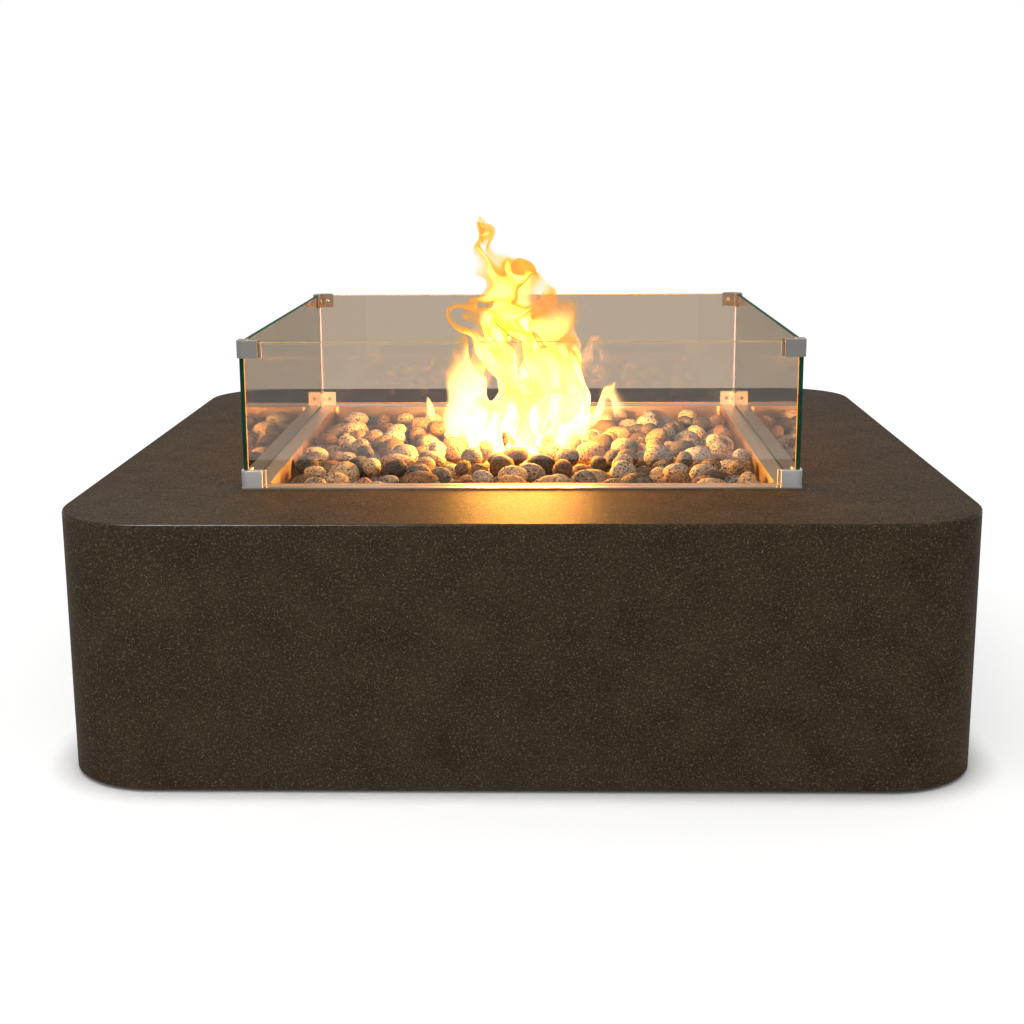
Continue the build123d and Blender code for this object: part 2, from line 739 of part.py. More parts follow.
with BuildPart() as igniter_button:
    with BuildSketch(niche_floor.offset(button_reach)):
        with Locations(rear_spot(igniter_x, control_z)):
            Circle(button_radius)
    extrude(amount=-button_length)
    fillet(igniter_button.edges().group_by(Axis.Y)[-1], button_round)
write("igniter_button", igniter_button.part)


def bend_radii(points):
    """The largest even bend at each inner point of a route, by its share of the shorter run."""
    radii = []
    for before, here, after in zip(points, points[1:], points[2:]):
        run_in = Vector(*here) - Vector(*before)
        run_out = Vector(*after) - Vector(*here)
        half_turn = math.radians(run_in.get_angle(run_out)) / 2
        radii.append(line_bend_share * min(run_in.length, run_out.length) / math.tan(half_turn))
    return radii


def write_line(name, points, radius):
    """A gas line or lead along a route of straight runs and tangent bends."""
    radii = bend_radii(points)
    with BuildPart() as line:
        with BuildLine() as route:
            FilletPolyline(*points, radius=radii)
        with BuildSketch(Plane(origin=route.wires()[0] @ 0, z_dir=route.wires()[0] % 0)):
            Circle(radius)
        sweep(path=route.wires()[0])
    section_times_length = math.pi * radius**2 * route.wires()[0].length
    print(name, "bend radii", [round(bend) for bend in radii])
    print(name, "volume over section times length", round(line.part.volume / section_times_length, 6))
    write(name, line.part)


# Gas hose and the two leads, inside the enclosure from end to end
outlet_y = niche_back.origin.Y - valve_depth - valve_outlet_length
write_line(
    "gas_hose",
    [
        (0, elbow_reach, elbow_z),
        (0, 120, elbow_z),
        (45, 245, elbow_z - 8),
        (120, 345, elbow_z),
        (knob_x, outlet_y - 75, control_z),
        (knob_x, outlet_y, control_z),
    ],
    gas_hose_radius,
)
terminal_y = niche_back.origin.Y - igniter_length - igniter_terminal_length
write_line(
    "ignition_lead",
    [
        (*electrode_xy, electrode_low_z),
        (*electrode_xy, electrode_low_z - 36),
        (85, 105, electrode_low_z - 60),
        (118, 160, electrode_low_z - 70),
        (160, 210, electrode_low_z - 66),
        (204, 258, electrode_low_z - 72),
        (250, 304, electrode_low_z - 68),
        (284, 360, electrode_low_z - 70),
        (igniter_x, terminal_y - 62, control_z),
        (igniter_x, terminal_y, control_z),
    ],
    ignition_lead_radius,
)
lead_port_y = niche_back.origin.Y - valve_depth / 2
valve_side_x = knob_x - valve_width / 2
write_line(
    "thermocouple_lead",
    [
        (*thermocouple_xy, electrode_low_z),
        (*thermocouple_xy, electrode_low_z - 34),
        (104, 112, electrode_low_z - 56),
        (114, 168, electrode_low_z - 52),
        (112, 228, electrode_low_z - 54),
        (106, 288, electrode_low_z - 50),
        (108, 348, electrode_low_z - 46),
        (112, 404, electrode_low_z - 40),
        (118, 460, control_z + 24),
        (126, lead_port_y - 38, control_z + 6),
        (146, lead_port_y, control_z),
        (valve_side_x, lead_port_y, control_z),
    ],
    thermocouple_lead_radius,
)

# Access door: folded panel with louvre slots and a finger slot, hung at its left on two hinges
hinge_y = body_depth / 2 - door_setback
door_face = Plane(origin=(door_hinge_x, hinge_y, door_z), x_dir=(-1, 0, 0), z_dir=(0, 1, 0))
door_edge = hinge_barrel_radius + door_barrel_gap
door_panel_width = door_width - door_edge
door_middle = -(door_edge + door_width) / 2
wall_inside = door_setback - sheet
with BuildPart() as access_door:
    with BuildSketch(door_face):
        with Locations((door_middle, 0)):
            Rectangle(door_panel_width, door_height)
    extrude(amount=-door_return)
    with BuildSketch(door_face.offset(-door_sheet)):
        with Locations((door_middle, 0)):
            Rectangle(door_panel_width - 2 * door_sheet, door_height - 2 * door_sheet)
    extrude(amount=door_sheet - door_return, mode=Mode.SUBTRACT)
    with BuildSketch(door_face):
        with Locations((door_middle + finger_slot_inset, 0)):
            with GridLocations(door_slot_spacing, door_slot_pitch, door_slot_columns, door_slot_rows):
                SlotOverall(door_slot_length, door_slot_height)
        with Locations((finger_slot_inset - door_width, 0)):
            SlotOverall(finger_slot_length, finger_slot_width, rotation=90)
    extrude(amount=-door_sheet, mode=Mode.SUBTRACT)
write("access_door", access_door.part)

hinge_heights = (-hinge_spacing / 2, hinge_spacing / 2)
outer_knuckle = (hinge_length - hinge_knuckle) / 2 - hinge_play
outer_knuckle_place = hinge_length / 2 - outer_knuckle / 2
with BuildPart() as door_hinge_leaves:
    for height in hinge_heights:
        with BuildSketch(Plane((door_hinge_x, hinge_y, door_z + height - hinge_knuckle / 2))):
            Circle(hinge_barrel_radius)
            Rectangle(hinge_leaf_width, hinge_leaf_thickness, align=(Align.MIN, Align.MIN))
        extrude(amount=hinge_knuckle)
        with BuildSketch(Plane((door_hinge_x, hinge_y, door_z + height - hinge_length / 2))):
            with Locations((door_edge, 0)):
                Rectangle(hinge_leaf_width - door_edge, hinge_leaf_thickness, align=(Align.MIN, Align.MIN))
        extrude(amount=hinge_length)
        with BuildSketch(Plane((door_hinge_x, hinge_y, door_z + height - hinge_knuckle / 2))):
            Circle(hinge_pin_radius + thread_gap)
        extrude(amount=hinge_knuckle, mode=Mode.SUBTRACT)
write("door_hinge_leaves", door_hinge_leaves.part)

with BuildPart() as wall_hinge_leaves:
    for height in hinge_heights:
        for place in (-outer_knuckle_place, outer_knuckle_place):
            with BuildSketch(Plane((door_hinge_x, hinge_y, door_z + height + place - outer_knuckle / 2))):
                Circle(hinge_barrel_radius)
                with Locations((0, wall_inside)):
                    Rectangle(hinge_leaf_width, hinge_leaf_thickness, align=(Align.MAX, Align.MAX))
            extrude(amount=outer_knuckle)
        with BuildSketch(Plane((door_hinge_x, hinge_y, door_z + height - hinge_length / 2))):
            with Locations((-door_edge, wall_inside)):
                Rectangle(hinge_leaf_width - door_edge, hinge_leaf_thickness, align=(Align.MAX, Align.MAX))
        extrude(amount=hinge_length)
        with BuildSketch(Plane((door_hinge_x, hinge_y, door_z + height - hinge_length / 2))):
            Circle(hinge_pin_radius + thread_gap)
        extrude(amount=hinge_length, mode=Mode.SUBTRACT)
write("wall_hinge_leaves", wall_hinge_leaves.part)

with BuildPart() as hinge_pins:
    for height in hinge_heights:
        with BuildSketch(Plane((door_hinge_x, hinge_y, door_z + height - hinge_length / 2))):
            Circle(hinge_pin_radius)
        extrude(amount=hinge_length)
write("hinge_pins", hinge_pins.part)

# Magnetic catch: folded bracket on the wall behind the door's free edge, and its magnet
catch_x = door_hinge_x + door_width + door_gap + catch_sheet
magnet_y = hinge_y - door_return - magnet_gap
bracket_y = magnet_y - magnet_thickness - catch_sheet
bracket_low_x = door_hinge_x + door_width - magnet_length
catch_base = Plane.XY.offset(door_z - catch_width / 2)
with BuildPart() as catch_bracket:
    with BuildSketch(catch_base):
        with Locations((catch_x, hinge_y + wall_inside)):
            Rectangle(catch_foot, catch_sheet, align=(Align.MIN, Align.MAX))
            Rectangle(catch_sheet, hinge_y + wall_inside - bracket_y, align=(Align.MIN, Align.MAX))
        with Locations((bracket_low_x, bracket_y)):
            Rectangle(catch_x + catch_sheet - bracket_low_x, catch_sheet, align=(Align.MIN, Align.MIN))
    extrude(amount=catch_width)
write("catch_bracket", catch_bracket.part)

with BuildPart() as catch_magnet:
    with BuildSketch(catch_base):
        with Locations((bracket_low_x, magnet_y)):
            Rectangle(magnet_length, magnet_thickness, align=(Align.MIN, Align.MAX))
    extrude(amount=catch_width)
write("catch_magnet", catch_magnet.part)

# Vent grilles: slotted plates screwed behind the openings in the side walls
vent_slot_pitch = (vent_width - vent_slot_width) / vent_slot_count
for name, wall in (("left", left_wall), ("right", right_wall)):
    with BuildPart() as vent_grille:
        with BuildSketch(wall.offset(-sheet)):
            with Locations((0, vent_z)):
                RectangleRounded(vent_width + 2 * vent_lap, vent_height + 2 * vent_lap, tray_corner)
                with GridLocations(vent_slot_pitch, vent_slot_height, vent_slot_count, 1):
                    SlotOverall(vent_slot_height, vent_slot_width, rotation=90, mode=Mode.SUBTRACT)
                with Locations(*corners(vent_width + vent_lap, vent_height + vent_lap)):
                    Circle(screw_radius + screw_play, mode=Mode.SUBTRACT)
        extrude(amount=-vent_sheet)
    write(f"vent_grille_{name}", vent_grille.part)

with BuildPart() as vent_screws:
    with Locations(*vent_screw_spots):
        add(flush_screw.part)
write("vent_screws", vent_screws.part)

# Wind guard: four glass panels on the pan's lip, held at the corners by eight clips
guard_half = lip_size / 2
glass_z = lip_z + clip_floor
glass_top_z = glass_z + glass_height
slot_width = glass_thickness + 2 * glass_fit
clip_width = clip_outer_wall + slot_width + clip_inner_wall
panel_length = lip_size - 2 * clip_end_stop
panel_offset = guard_half - clip_outer_wall - glass_fit - glass_thickness / 2
panel_spots = {
    "front": (0, -panel_offset, panel_length, glass_thickness),
    "rear": (0, panel_offset, panel_length, glass_thickness),
    "left": (-panel_offset, 0, glass_thickness, panel_length),
    "right": (panel_offset, 0, glass_thickness, panel_length),
}
for side, (panel_x, panel_y, size_x, size_y) in panel_spots.items():
    with BuildPart() as glass:
        with BuildSketch(Plane((panel_x, panel_y, glass_z))):
            Rectangle(size_x, size_y)
        extrude(amount=glass_height)
        chamfer(glass.edges(), glass_chamfer)
    write(f"glass_{side}", glass.part)


clip_diagonal = Axis((0, 0, 0), (1, 1, 0))
clip_screw_place = (clip_width + clip_inner_leg) / 2


def clip_screw_planes(clip_z):
    """Where the two screws of the front left clip enter its inner walls, facing the fire."""
    along = clip_screw_place - guard_half
    face = clip_width - guard_half
    height = clip_z + clip_height / 2
    return [
        Plane(origin=(along, face, height), x_dir=(1, 0, 0), z_dir=(0, 1, 0)),
        Plane(origin=(face, along, height), x_dir=(0, 1, 0), z_dir=(1, 0, 0)),
    ]


def corner_clip(clip_z, slot_z):
    """The front left clip from clip_z up, with its slots cut from slot_z over its height."""
    inner_wall_place = clip_width - clip_inner_wall
    inner_wall_length = clip_inner_leg - clip_width / 2
    with BuildPart() as clip:
        with BuildSketch(Plane((-guard_half, -guard_half, clip_z))):
            Rectangle(clip_outer_leg, clip_width, align=(Align.MIN, Align.MIN))
            Rectangle(clip_width, clip_outer_leg, align=(Align.MIN, Align.MIN))
            with Locations((clip_width / 2, inner_wall_place)):
                Rectangle(inner_wall_length, clip_inner_wall, align=(Align.MIN, Align.MIN))
            with Locations((inner_wall_place, clip_width / 2)):
                Rectangle(clip_inner_wall, inner_wall_length, align=(Align.MIN, Align.MIN))
        extrude(amount=clip_height)
        fillet(clip.edges().filter_by(Axis.Z).sort_by(clip_diagonal)[0], clip_round)
        chamfer(clip.edges().group_by(Axis.Z)[-1], clip_edge)
        with BuildSketch(Plane((-guard_half, -guard_half, slot_z))):
            with Locations((clip_end_stop - glass_fit, clip_outer_wall)):
                Rectangle(clip_inner_leg, slot_width, align=(Align.MIN, Align.MIN))
            with Locations((clip_outer_wall, clip_end_stop - glass_fit)):
                Rectangle(slot_width, clip_inner_leg, align=(Align.MIN, Align.MIN))
        extrude(amount=clip_height, mode=Mode.SUBTRACT)
        for plane in clip_screw_planes(clip_z):
            with BuildSketch(plane):
                Circle(guard_screw_radius + thread_gap)
            extrude(amount=-clip_inner_wall, mode=Mode.SUBTRACT)
    return clip.part


clip_levels = {"bottom": lip_z, "top": glass_top_z + clip_floor - clip_height}
slot_levels = {"bottom": glass_z, "top": glass_top_z - clip_height}
for level, clip_z in clip_levels.items():
    one_clip = corner_clip(clip_z, slot_levels[level])
    with BuildPart() as clips:
        with PolarLocations(0, 4):
            add(one_clip)
    write(f"{level}_clips", clips.part)

# Button-head screw, its head up from the plane's own XY and its shank towards -Z
with BuildPart() as guard_screw:
    with BuildSketch(Plane.XY):
        Circle(guard_screw_head_radius)
    extrude(amount=guard_screw_head_height)
    fillet(guard_screw.edges().group_by(Axis.Z)[-1], guard_screw_round)
    with BuildSketch(Plane.XY):
        Circle(guard_screw_radius)
    extrude(amount=guard_screw_gap - glass_fit - clip_inner_wall)
    with BuildSketch(Plane.XY.offset(guard_screw_head_height)):
        RegularPolygon(screw_socket / 2, 6, major_radius=False)
    extrude(amount=-screw_socket_depth, mode=Mode.SUBTRACT)

with BuildPart() as clip_screws:
    with PolarLocations(0, 4):
        for clip_z in clip_levels.values():
            with Locations(*clip_screw_planes(clip_z)):
                add(guard_screw.part)
write("clip_screws", clip_screws.part)

# Lava stones: egg-like and disc-like spheroids, dropped one by one into the pan. Each is tried at
# many places and stays at the lowest, so that it rests on the pan, the burner or other stones.
draw = random.Random(stone_seed)
grid_half = pan_opening / 2 + stone_length_range[1]
grid_count = int(2 * grid_half / stone_cell) + 1
grid_line = (np.arange(grid_count) - (grid_count - 1) / 2) * stone_cell
grid_x, grid_y = np.meshgrid(grid_line, grid_line, indexing="ij")


def heights_in_empty_pan():
    """Height over the pan's floor of what the first stones can lie on, out of reach past its walls."""
    surface = np.zeros_like(grid_x)
    tube_middle = tube_z - pan_floor_z
    from_axis = np.hypot(grid_x, grid_y)
    inside_ring = from_axis < burner_ring_radius
    for distance, there, tube_radius in (
        (from_axis - burner_ring_radius, np.full_like(inside_ring, True), burner_tube_radius + stone_seat),
        (grid_x, inside_ring, burner_spoke_radius + stone_seat),
        (grid_y, inside_ring, burner_spoke_radius + stone_seat),
    ):
        under = there & (np.abs(distance) < tube_radius)
        rise = np.sqrt(np.clip(tube_radius**2 - distance**2, 0, None))
        surface = np.where(under, np.maximum(surface, tube_middle + rise), surface)
    for (post_x, post_y), post_radius, post_top in (
        ((0, 0), burner_hub_radius, lock_nut_height + burner_hub_height),
        ((0, 0), lock_nut_flats / math.sqrt(3), lock_nut_height),
        (electrode_xy, electrode_radius, pilot_rise),
        (electrode_xy, electrode_tip_radius, pilot_rise + pilot_tip),
        (thermocouple_xy, thermocouple_radius, pilot_rise),
    ):
        over_post = np.hypot(grid_x - post_x, grid_y - post_y) < post_radius + stone_seat
        surface = np.where(over_post, np.maximum(surface, post_top), surface)
    beside_x = np.abs(grid_x - pilot_spot) < pilot_bracket_length / 2 + stone_gap
    beside_y = np.abs(grid_y - pilot_spot) < pilot_bracket_width / 2 + stone_gap
    surface = np.where(beside_x & beside_y, np.maximum(surface, pilot_bracket_thickness), surface)
    corner_middle = pan_opening / 2 - pan_corner
    past_x = np.clip(np.abs(grid_x) - corner_middle, 0, None)
    past_y = np.clip(np.abs(grid_y) - corner_middle, 0, None)
    past_wall = np.hypot(past_x, past_y) > pan_corner - stone_seat
    return np.where(past_wall, body_height, surface)


def new_stone():
    """A stone's half axes along and across its axis of turning, and that axis' direction."""
    low, high = stone_length_range
    half_length = draw.triangular(low, high, stone_length_common) / 2
    half_short = half_length * draw.uniform(*stone_flatness_range)
    turn = draw.uniform(0, 2 * math.pi)
    tilt = math.radians(draw.uniform(-stone_tilt, stone_tilt))
    level_way = np.array([math.cos(turn), math.sin(turn), 0])
    upright = np.array([0, 0, 1])
    if draw.random() < stone_oblate_share:
        return half_short, half_length, math.cos(tilt) * upright + math.sin(tilt) * level_way
    return half_length, half_short, math.cos(tilt) * level_way + math.sin(tilt) * upright


def spheroid(along, across, axis):
    """The matrix of a spheroid, whose surface is where p Q p = 1."""
    return np.eye(3) / across**2 + (1 / along**2 - 1 / across**2) * np.outer(axis, axis)


def under_and_over(matrix):
    """Heights of a spheroid's lower and upper side over the grid cells around its middle."""
    reach = np.sqrt(np.diag(np.linalg.inv(matrix)))
    steps_x, steps_y = (int(r / stone_cell) for r in reach[:2])
    x, y = np.meshgrid(
        np.arange(-steps_x, steps_x + 1) * stone_cell,
        np.arange(-steps_y, steps_y + 1) * stone_cell,
        indexing="ij",
    )
    slope = matrix[0, 2] * x + matrix[1, 2] * y
    rest = matrix[0, 0] * x**2 + 2 * matrix[0, 1] * x * y + matrix[1, 1] * y**2 - 1
    inside = slope**2 - matrix[2, 2] * rest
    half = np.sqrt(np.clip(inside, 0, None))
    under = np.where(inside > 0, (-slope - half) / matrix[2, 2], np.inf)
    over = np.where(inside > 0, (-slope + half) / matrix[2, 2], -np.inf)
    return under, over, reach[2]


def bed_top(x, y):
    """Height of the bed over the pan's floor: level at the walls, a little higher in the middle."""
    from_middle = min(1.0, math.hypot(x, y) / (pan_opening / 2))
    return stone_level + stone_crown * (1 - from_middle**2)


def drop_stones():
    """Fills the pan and returns each stone's half axes, axis and middle."""
    surface = heights_in_empty_pan()
    stones = []
    misses = 0
    while misses < stone_patience:
        along, across, axis = new_stone()
        under, over, reach_z = under_and_over(spheroid(along + stone_gap / 2, across + stone_gap / 2, axis))
        half_x, half_y = (n // 2 for n in under.shape)
        lift = stone_seat - stone_gap
        best = None
        for _ in range(stone_places):
            i = draw.randrange(half_x, grid_count - half_x)
            j = draw.randrange(half_y, grid_count - half_y)
            window = surface[i - half_x:i + half_x + 1, j - half_y:j + half_y + 1]
            height = np.max(window - under)
            low_enough = height + reach_z < bed_top(grid_line[i], grid_line[j])
            if low_enough and (best is None or height < best[0]):
                best = (height, i, j)
        if best is None:
            misses += 1
            continue
        misses = 0
        height, i, j = best
        window = surface[i - half_x:i + half_x + 1, j - half_y:j + half_y + 1]
        np.maximum(window, height + over + lift, out=window)
        stones.append((along, across, axis, Vector(grid_line[i], grid_line[j], pan_floor_z + height)))
    return stones


def stone_solid(along, across, axis, middle):
    """A spheroid turned about its own axis."""
    direction = Vector(*axis)
    other_way = Vector(0, 0, 1) if abs(direction.Z) < abs(direction.X) else Vector(1, 0, 0)
    side = direction.cross(other_way).normalized()
    band = (180 - 2 * stone_pole) / stone_bands
    end_radius = across * math.sin(math.radians(stone_pole))
    end_place = along * math.cos(math.radians(stone_pole))
    with BuildPart() as stone:
        with BuildSketch(Plane(origin=middle, x_dir=side, z_dir=side.cross(direction))):
            with BuildLine():
                for number in range(stone_bands):
                    start = stone_pole - 90 + number * band
                    EllipticalCenterArc((0, 0), across, along, start_angle=start, arc_size=band)
                Polyline((end_radius, end_place), (0, end_place), (0, -end_place), (end_radius, -end_place))
            make_face()
        revolve(axis=Axis(middle, direction))
    return stone.part.solids()[0]


stone_groups = {colour: [] for colour in stone_shares}
for placed in drop_stones():
    colour = draw.choices(list(stone_shares), weights=list(stone_shares.values()))[0]
    stone_groups[colour].append(stone_solid(*placed))
for colour, solids in stone_groups.items():
    print(f"lava_stones_{colour}", len(solids), "stones")
    write(f"lava_stones_{colour}", Compound(solids))
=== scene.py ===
import json
import math
import random

import bmesh
import bpy
import numpy as np
from mathutils import Matrix, Vector


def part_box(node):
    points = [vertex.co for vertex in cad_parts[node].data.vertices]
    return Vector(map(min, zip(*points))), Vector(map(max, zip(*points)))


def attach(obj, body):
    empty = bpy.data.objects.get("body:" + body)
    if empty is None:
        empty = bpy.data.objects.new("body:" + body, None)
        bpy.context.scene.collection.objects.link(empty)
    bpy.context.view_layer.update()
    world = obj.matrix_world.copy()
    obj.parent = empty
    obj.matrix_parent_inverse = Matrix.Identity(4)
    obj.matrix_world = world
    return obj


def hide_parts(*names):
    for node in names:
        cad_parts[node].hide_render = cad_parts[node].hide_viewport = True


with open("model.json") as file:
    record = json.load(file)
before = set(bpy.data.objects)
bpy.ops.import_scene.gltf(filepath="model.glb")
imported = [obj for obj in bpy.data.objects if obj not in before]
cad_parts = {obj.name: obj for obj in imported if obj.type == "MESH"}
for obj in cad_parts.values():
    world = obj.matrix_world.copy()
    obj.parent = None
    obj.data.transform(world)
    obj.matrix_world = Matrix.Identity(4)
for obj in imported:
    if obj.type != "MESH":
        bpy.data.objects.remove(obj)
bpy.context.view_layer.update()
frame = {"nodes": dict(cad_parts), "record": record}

# Gas fire-pit table: finishes, lava stones, glass, flame, light and camera around the fixed frame.
# Everything is in metres, in the frame's own axes: +Z up, the front towards -Y. Names that end in _mm
# are sizes of a pattern in millimetres.

# Places read from the frame
table_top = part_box("enclosure_shell")[1].z
pointer_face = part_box("control_knob")[1].y  # the raised pointer stands out farthest
stone_nodes = ("lava_stones_grey", "lava_stones_tan", "lava_stones_rust")

# Powder coat
coat_wrinkle_mm = 2.3
coat_grit_mm = 1.7
coat_cloud_mm = 60  # broad patches that are a little lighter or darker
rubbed_edge = 0.006  # height of the band along the top's edge that is rubbed smooth
rubbed_from = 0.6 * rubbed_edge  # it is rubbed most from this depth below the top
rubbed_to = 0.15 * rubbed_edge  # to this one
rubbed_polish = 0.24  # how much less rough it is there

# Metals
smudge_mm = 90  # broad faint marks
smudge_shade = 0.82  # brightness of the metal in them, as a share of its own
brush_smoother = 0.08  # how much less rough the smoothest scratches are
brush_rougher = 0.1  # and how much more the roughest

# Mouldings
grain_shade = 1.35  # brightness of the high spots of a grain, as a share of the rest
grain_roughness = 0.08  # how much the roughness changes over it

# Control knob
pointer_paint = 0.0009  # depth of the paint on its raised pointer
knob_roughness = 0.5
knob_grain_mm = 0.8

# Glass
glass_ior = 1.5
edge_arris = 0.0007  # ground corner of a panel's edge
edge_streak_mm = 14
pane_normal = 0.99  # a face that looks this much along the panel's thickness is one of its panes

# Lava stones
stone_cuts = 5  # vertices along each side of the cube that a stone is rounded from
stone_lump = 0.030  # size of a stone's broad bumps and hollows
stone_lump_depth = 0.0055
stone_dent = 0.009  # size of its small dents
stone_dent_depth = 0.0012
stone_skin = 0.58  # noise that leaves the surface in place; most of it is lower and goes inwards
stone_seed = 4
lava_speckle_mm = 2.6
lava_patch_mm = 22
lava_pore_mm = 4.6

# Flame; rise is the share of its height, from 0 at its foot to 1 at its tip
flame_seed = 3.0
flame_foot = table_top - 0.012  # among the upper stones
flame_height = 0.385  # foot of the flame to its highest tip
flame_reach = 0.195  # half width at its foot
flame_flat = 1.5  # how many times narrower it is from front to back
flame_close = 1.02  # rise at which its width would come to nothing
flame_taper = 0.9  # power with which it narrows
flame_lean = -0.030  # its tip to the left of the burner's axis
flame_drift = 0.120  # size of the swirls that bend it
flame_sway_foot = 0.05  # how strongly they do so at its foot
flame_sway_tip = 0.34  # and at its tip
flame_fold = 0.055  # size of the folds that tear it into licks
flame_fold_shape = (1.0, 0.5, 0.40)  # they are drawn out from front to back and upwards
flame_tear = 11.0  # how deeply a fold cuts
flame_uncut = 1.05  # its reach between folds, in half widths
flame_root = 0.16  # rise over which it gathers above the stones
flame_root_pinch = 0.45  # how far it is drawn in at its foot, in half widths
flame_thinning = 0.35  # how much it loses towards its tip
flame_skin = 0.10  # distance inside its outline, in half widths, at which it is fully dense
flame_density = 240.0
flame_cooling = 0.80  # how much cooler it is at its tip
flame_coolest = -0.22  # range from gold to white-hot
flame_hottest = 0.34
flame_glow_coolest = 0.25
flame_glow_hottest = 8.0
flame_step = 0.09  # share of the usual step with which a ray samples the gas
flame_hull_sides = 24
flame_hull_foot = 1.15 * flame_reach  # radii of the cone that holds the gas
flame_hull_tip = 0.55 * flame_reach

# Light of the fire
fire_spots = ((-0.05, -0.04, 0.402), (0.05, -0.04, 0.402), (0.0, 0.05, 0.41))
fire_watts = 11.5
fire_colour = "ffb24c"
fire_radius = 0.042

# Floor and surroundings
floor_reach = 40.0  # half of its side
floor_covered = 0.56  # half of the square under the table, which lies in the dark
floor_colour = "dddddd"
floor_contact = 0.05  # reach of the dark seam along the table's foot
floor_open = 0.5  # share of open sky from which the floor is lifted towards white
floor_lift = 0.45
surroundings_light = 0.80  # strength with which they light the table
surroundings_seen = 1.0  # strength with which they are seen

# Studio lamps
soft_box_aim = (0, 0, 0.25)
soft_boxes = (  # name, place, watts, colour and size
    ("soft_box_above", (-0.6, -1.2, 2.6), 8.0, "fffaf2", 1.2),
    ("soft_box_front", (-0.7, -3.2, 1.9), 14.0, "fffaf4", 1.8),
)
strip_place = (-0.8, -0.95, 1.9)
strip_aim = (-0.43, -0.61, 0.36)
strip_watts = 45.0
strip_size = (0.5, 0.2)
strip_spread = math.radians(40)

# Camera, found by fitting the table's edges in the photograph
camera_place = Vector((0.0380, -2.5777, 0.8115))
camera_down = math.radians(12.47)
camera_yaw = math.radians(-1.32)
camera_roll = math.radians(-0.32)
camera_lens = 56.55  # millimetres
camera_sensor = 36.0  # millimetres


def linear(code):
    """A colour written as an sRGB hex value, as linear red, green, blue and alpha."""
    values = [int(code[i:i + 2], 16) / 255 for i in (0, 2, 4)]
    return (*(v / 12.92 if v <= 0.04045 else ((v + 0.055) / 1.055) ** 2.4 for v in values), 1.0)


def shaded(code, factor):
    """The linear colour of an sRGB hex value, made lighter or darker."""
    return (*(min(1.0, factor * channel) for channel in linear(code)[:3]), 1.0)


def per_mm(size):
    """A texture's scale, in cells per metre, from the size of one cell in millimetres."""
    return 1000.0 / size


def start_material(name):
    """An empty node material and its tree."""
    made = bpy.data.materials.new(name)
    made.use_nodes = True
    made.node_tree.nodes.clear()
    return made, made.node_tree


def add(tree, kind, inputs=None, **settings):
    """Adds a node with its settings; inputs gives each socket a value or another node's output."""
    made = tree.nodes.new(kind)
    for setting, value in settings.items():
        setattr(made, setting, value)
    for socket, value in (inputs or {}).items():
        if isinstance(value, bpy.types.NodeSocket):
            tree.links.new(value, made.inputs[socket])
        else:
            made.inputs[socket].default_value = value
    return made


def powder_coat():
    """Textured polyester powder coat, sprayed and baked on steel: a dull dark brown skin of fine
    wrinkled grains, rubbed smooth along the edge of the top, with a painted highlight that draws the
    highest grains lighter. It scatters nearly all of its light, so it mirrors very little."""
    made, tree = start_material("powder_coat_brown_textured")
    place = add(tree, "ShaderNodeTexCoord").outputs["Object"]
    grain = add(tree, "ShaderNodeTexNoise", {
        "Vector": place, "Scale": per_mm(coat_wrinkle_mm), "Detail": 2.0, "Distortion": 0.9}).outputs["Fac"]
    fine = add(tree, "ShaderNodeTexNoise", {
        "Vector": place, "Scale": per_mm(coat_grit_mm), "Detail": 2.0}).outputs["Fac"]
    cloud = add(tree, "ShaderNodeTexNoise", {
        "Vector": place, "Scale": per_mm(coat_cloud_mm), "Detail": 4.0}).outputs["Fac"]
    shade = add(tree, "ShaderNodeMath", {0: fine, 1: cloud}, operation="MULTIPLY").outputs[0]
    mottle = add(tree, "ShaderNodeMapRange", {
        "Value": shade, "From Min": 0.10, "From Max": 0.42}).outputs[0]
    base = add(tree, "ShaderNodeMix", {
        "Factor": mottle, "A": linear("2d261c"), "B": linear("40362a")}, data_type="RGBA").outputs["Result"]
    # painted highlight: the high spots of the grain are drawn lighter, standing in for the light they catch
    spot_lightness = add(tree, "ShaderNodeMapRange", {
        "Value": grain, "From Min": 0.50, "From Max": 0.84}, interpolation_type="SMOOTHSTEP").outputs[0]
    with_painted_highlights = add(tree, "ShaderNodeMix", {
        "Factor": spot_lightness, "A": base, "B": linear("766854")}, data_type="RGBA").outputs["Result"]
    height = add(tree, "ShaderNodeMath", {0: fine, 1: 0.4, 2: grain}, operation="MULTIPLY_ADD").outputs[0]
    rough = add(tree, "ShaderNodeMapRange", {"Value": grain, "To Min": 0.60, "To Max": 0.44}).outputs[0]

    level = add(tree, "ShaderNodeSeparateXYZ", {0: place}).outputs["Z"]
    above = add(tree, "ShaderNodeMapRange", {
        "Value": level, "From Min": table_top - rubbed_edge, "From Max": table_top - rubbed_from}).outputs[0]
    below = add(tree, "ShaderNodeMapRange", {
        "Value": level, "From Min": table_top - rubbed_to, "From Max": table_top,
        "To Min": 1.0, "To Max": 0.0}).outputs[0]
    rubbed = add(tree, "ShaderNodeMath", {0: above, 1: below}, operation="MULTIPLY").outputs[0]
    worn = add(tree, "ShaderNodeMath", {
        0: rubbed, 1: -rubbed_polish, 2: rough}, operation="MULTIPLY_ADD").outputs[0]
    bump = add(tree, "ShaderNodeBump", {"Height": height, "Strength": 0.4, "Distance": 0.0008}).outputs[0]
    shader = add(tree, "ShaderNodeBsdfPrincipled", {
        "Base Color": with_painted_highlights, "Roughness": worn, "Normal": bump, "Specular IOR Level": 0.01}).outputs[0]
    add(tree, "ShaderNodeOutputMaterial", {"Surface": shader})
    return made


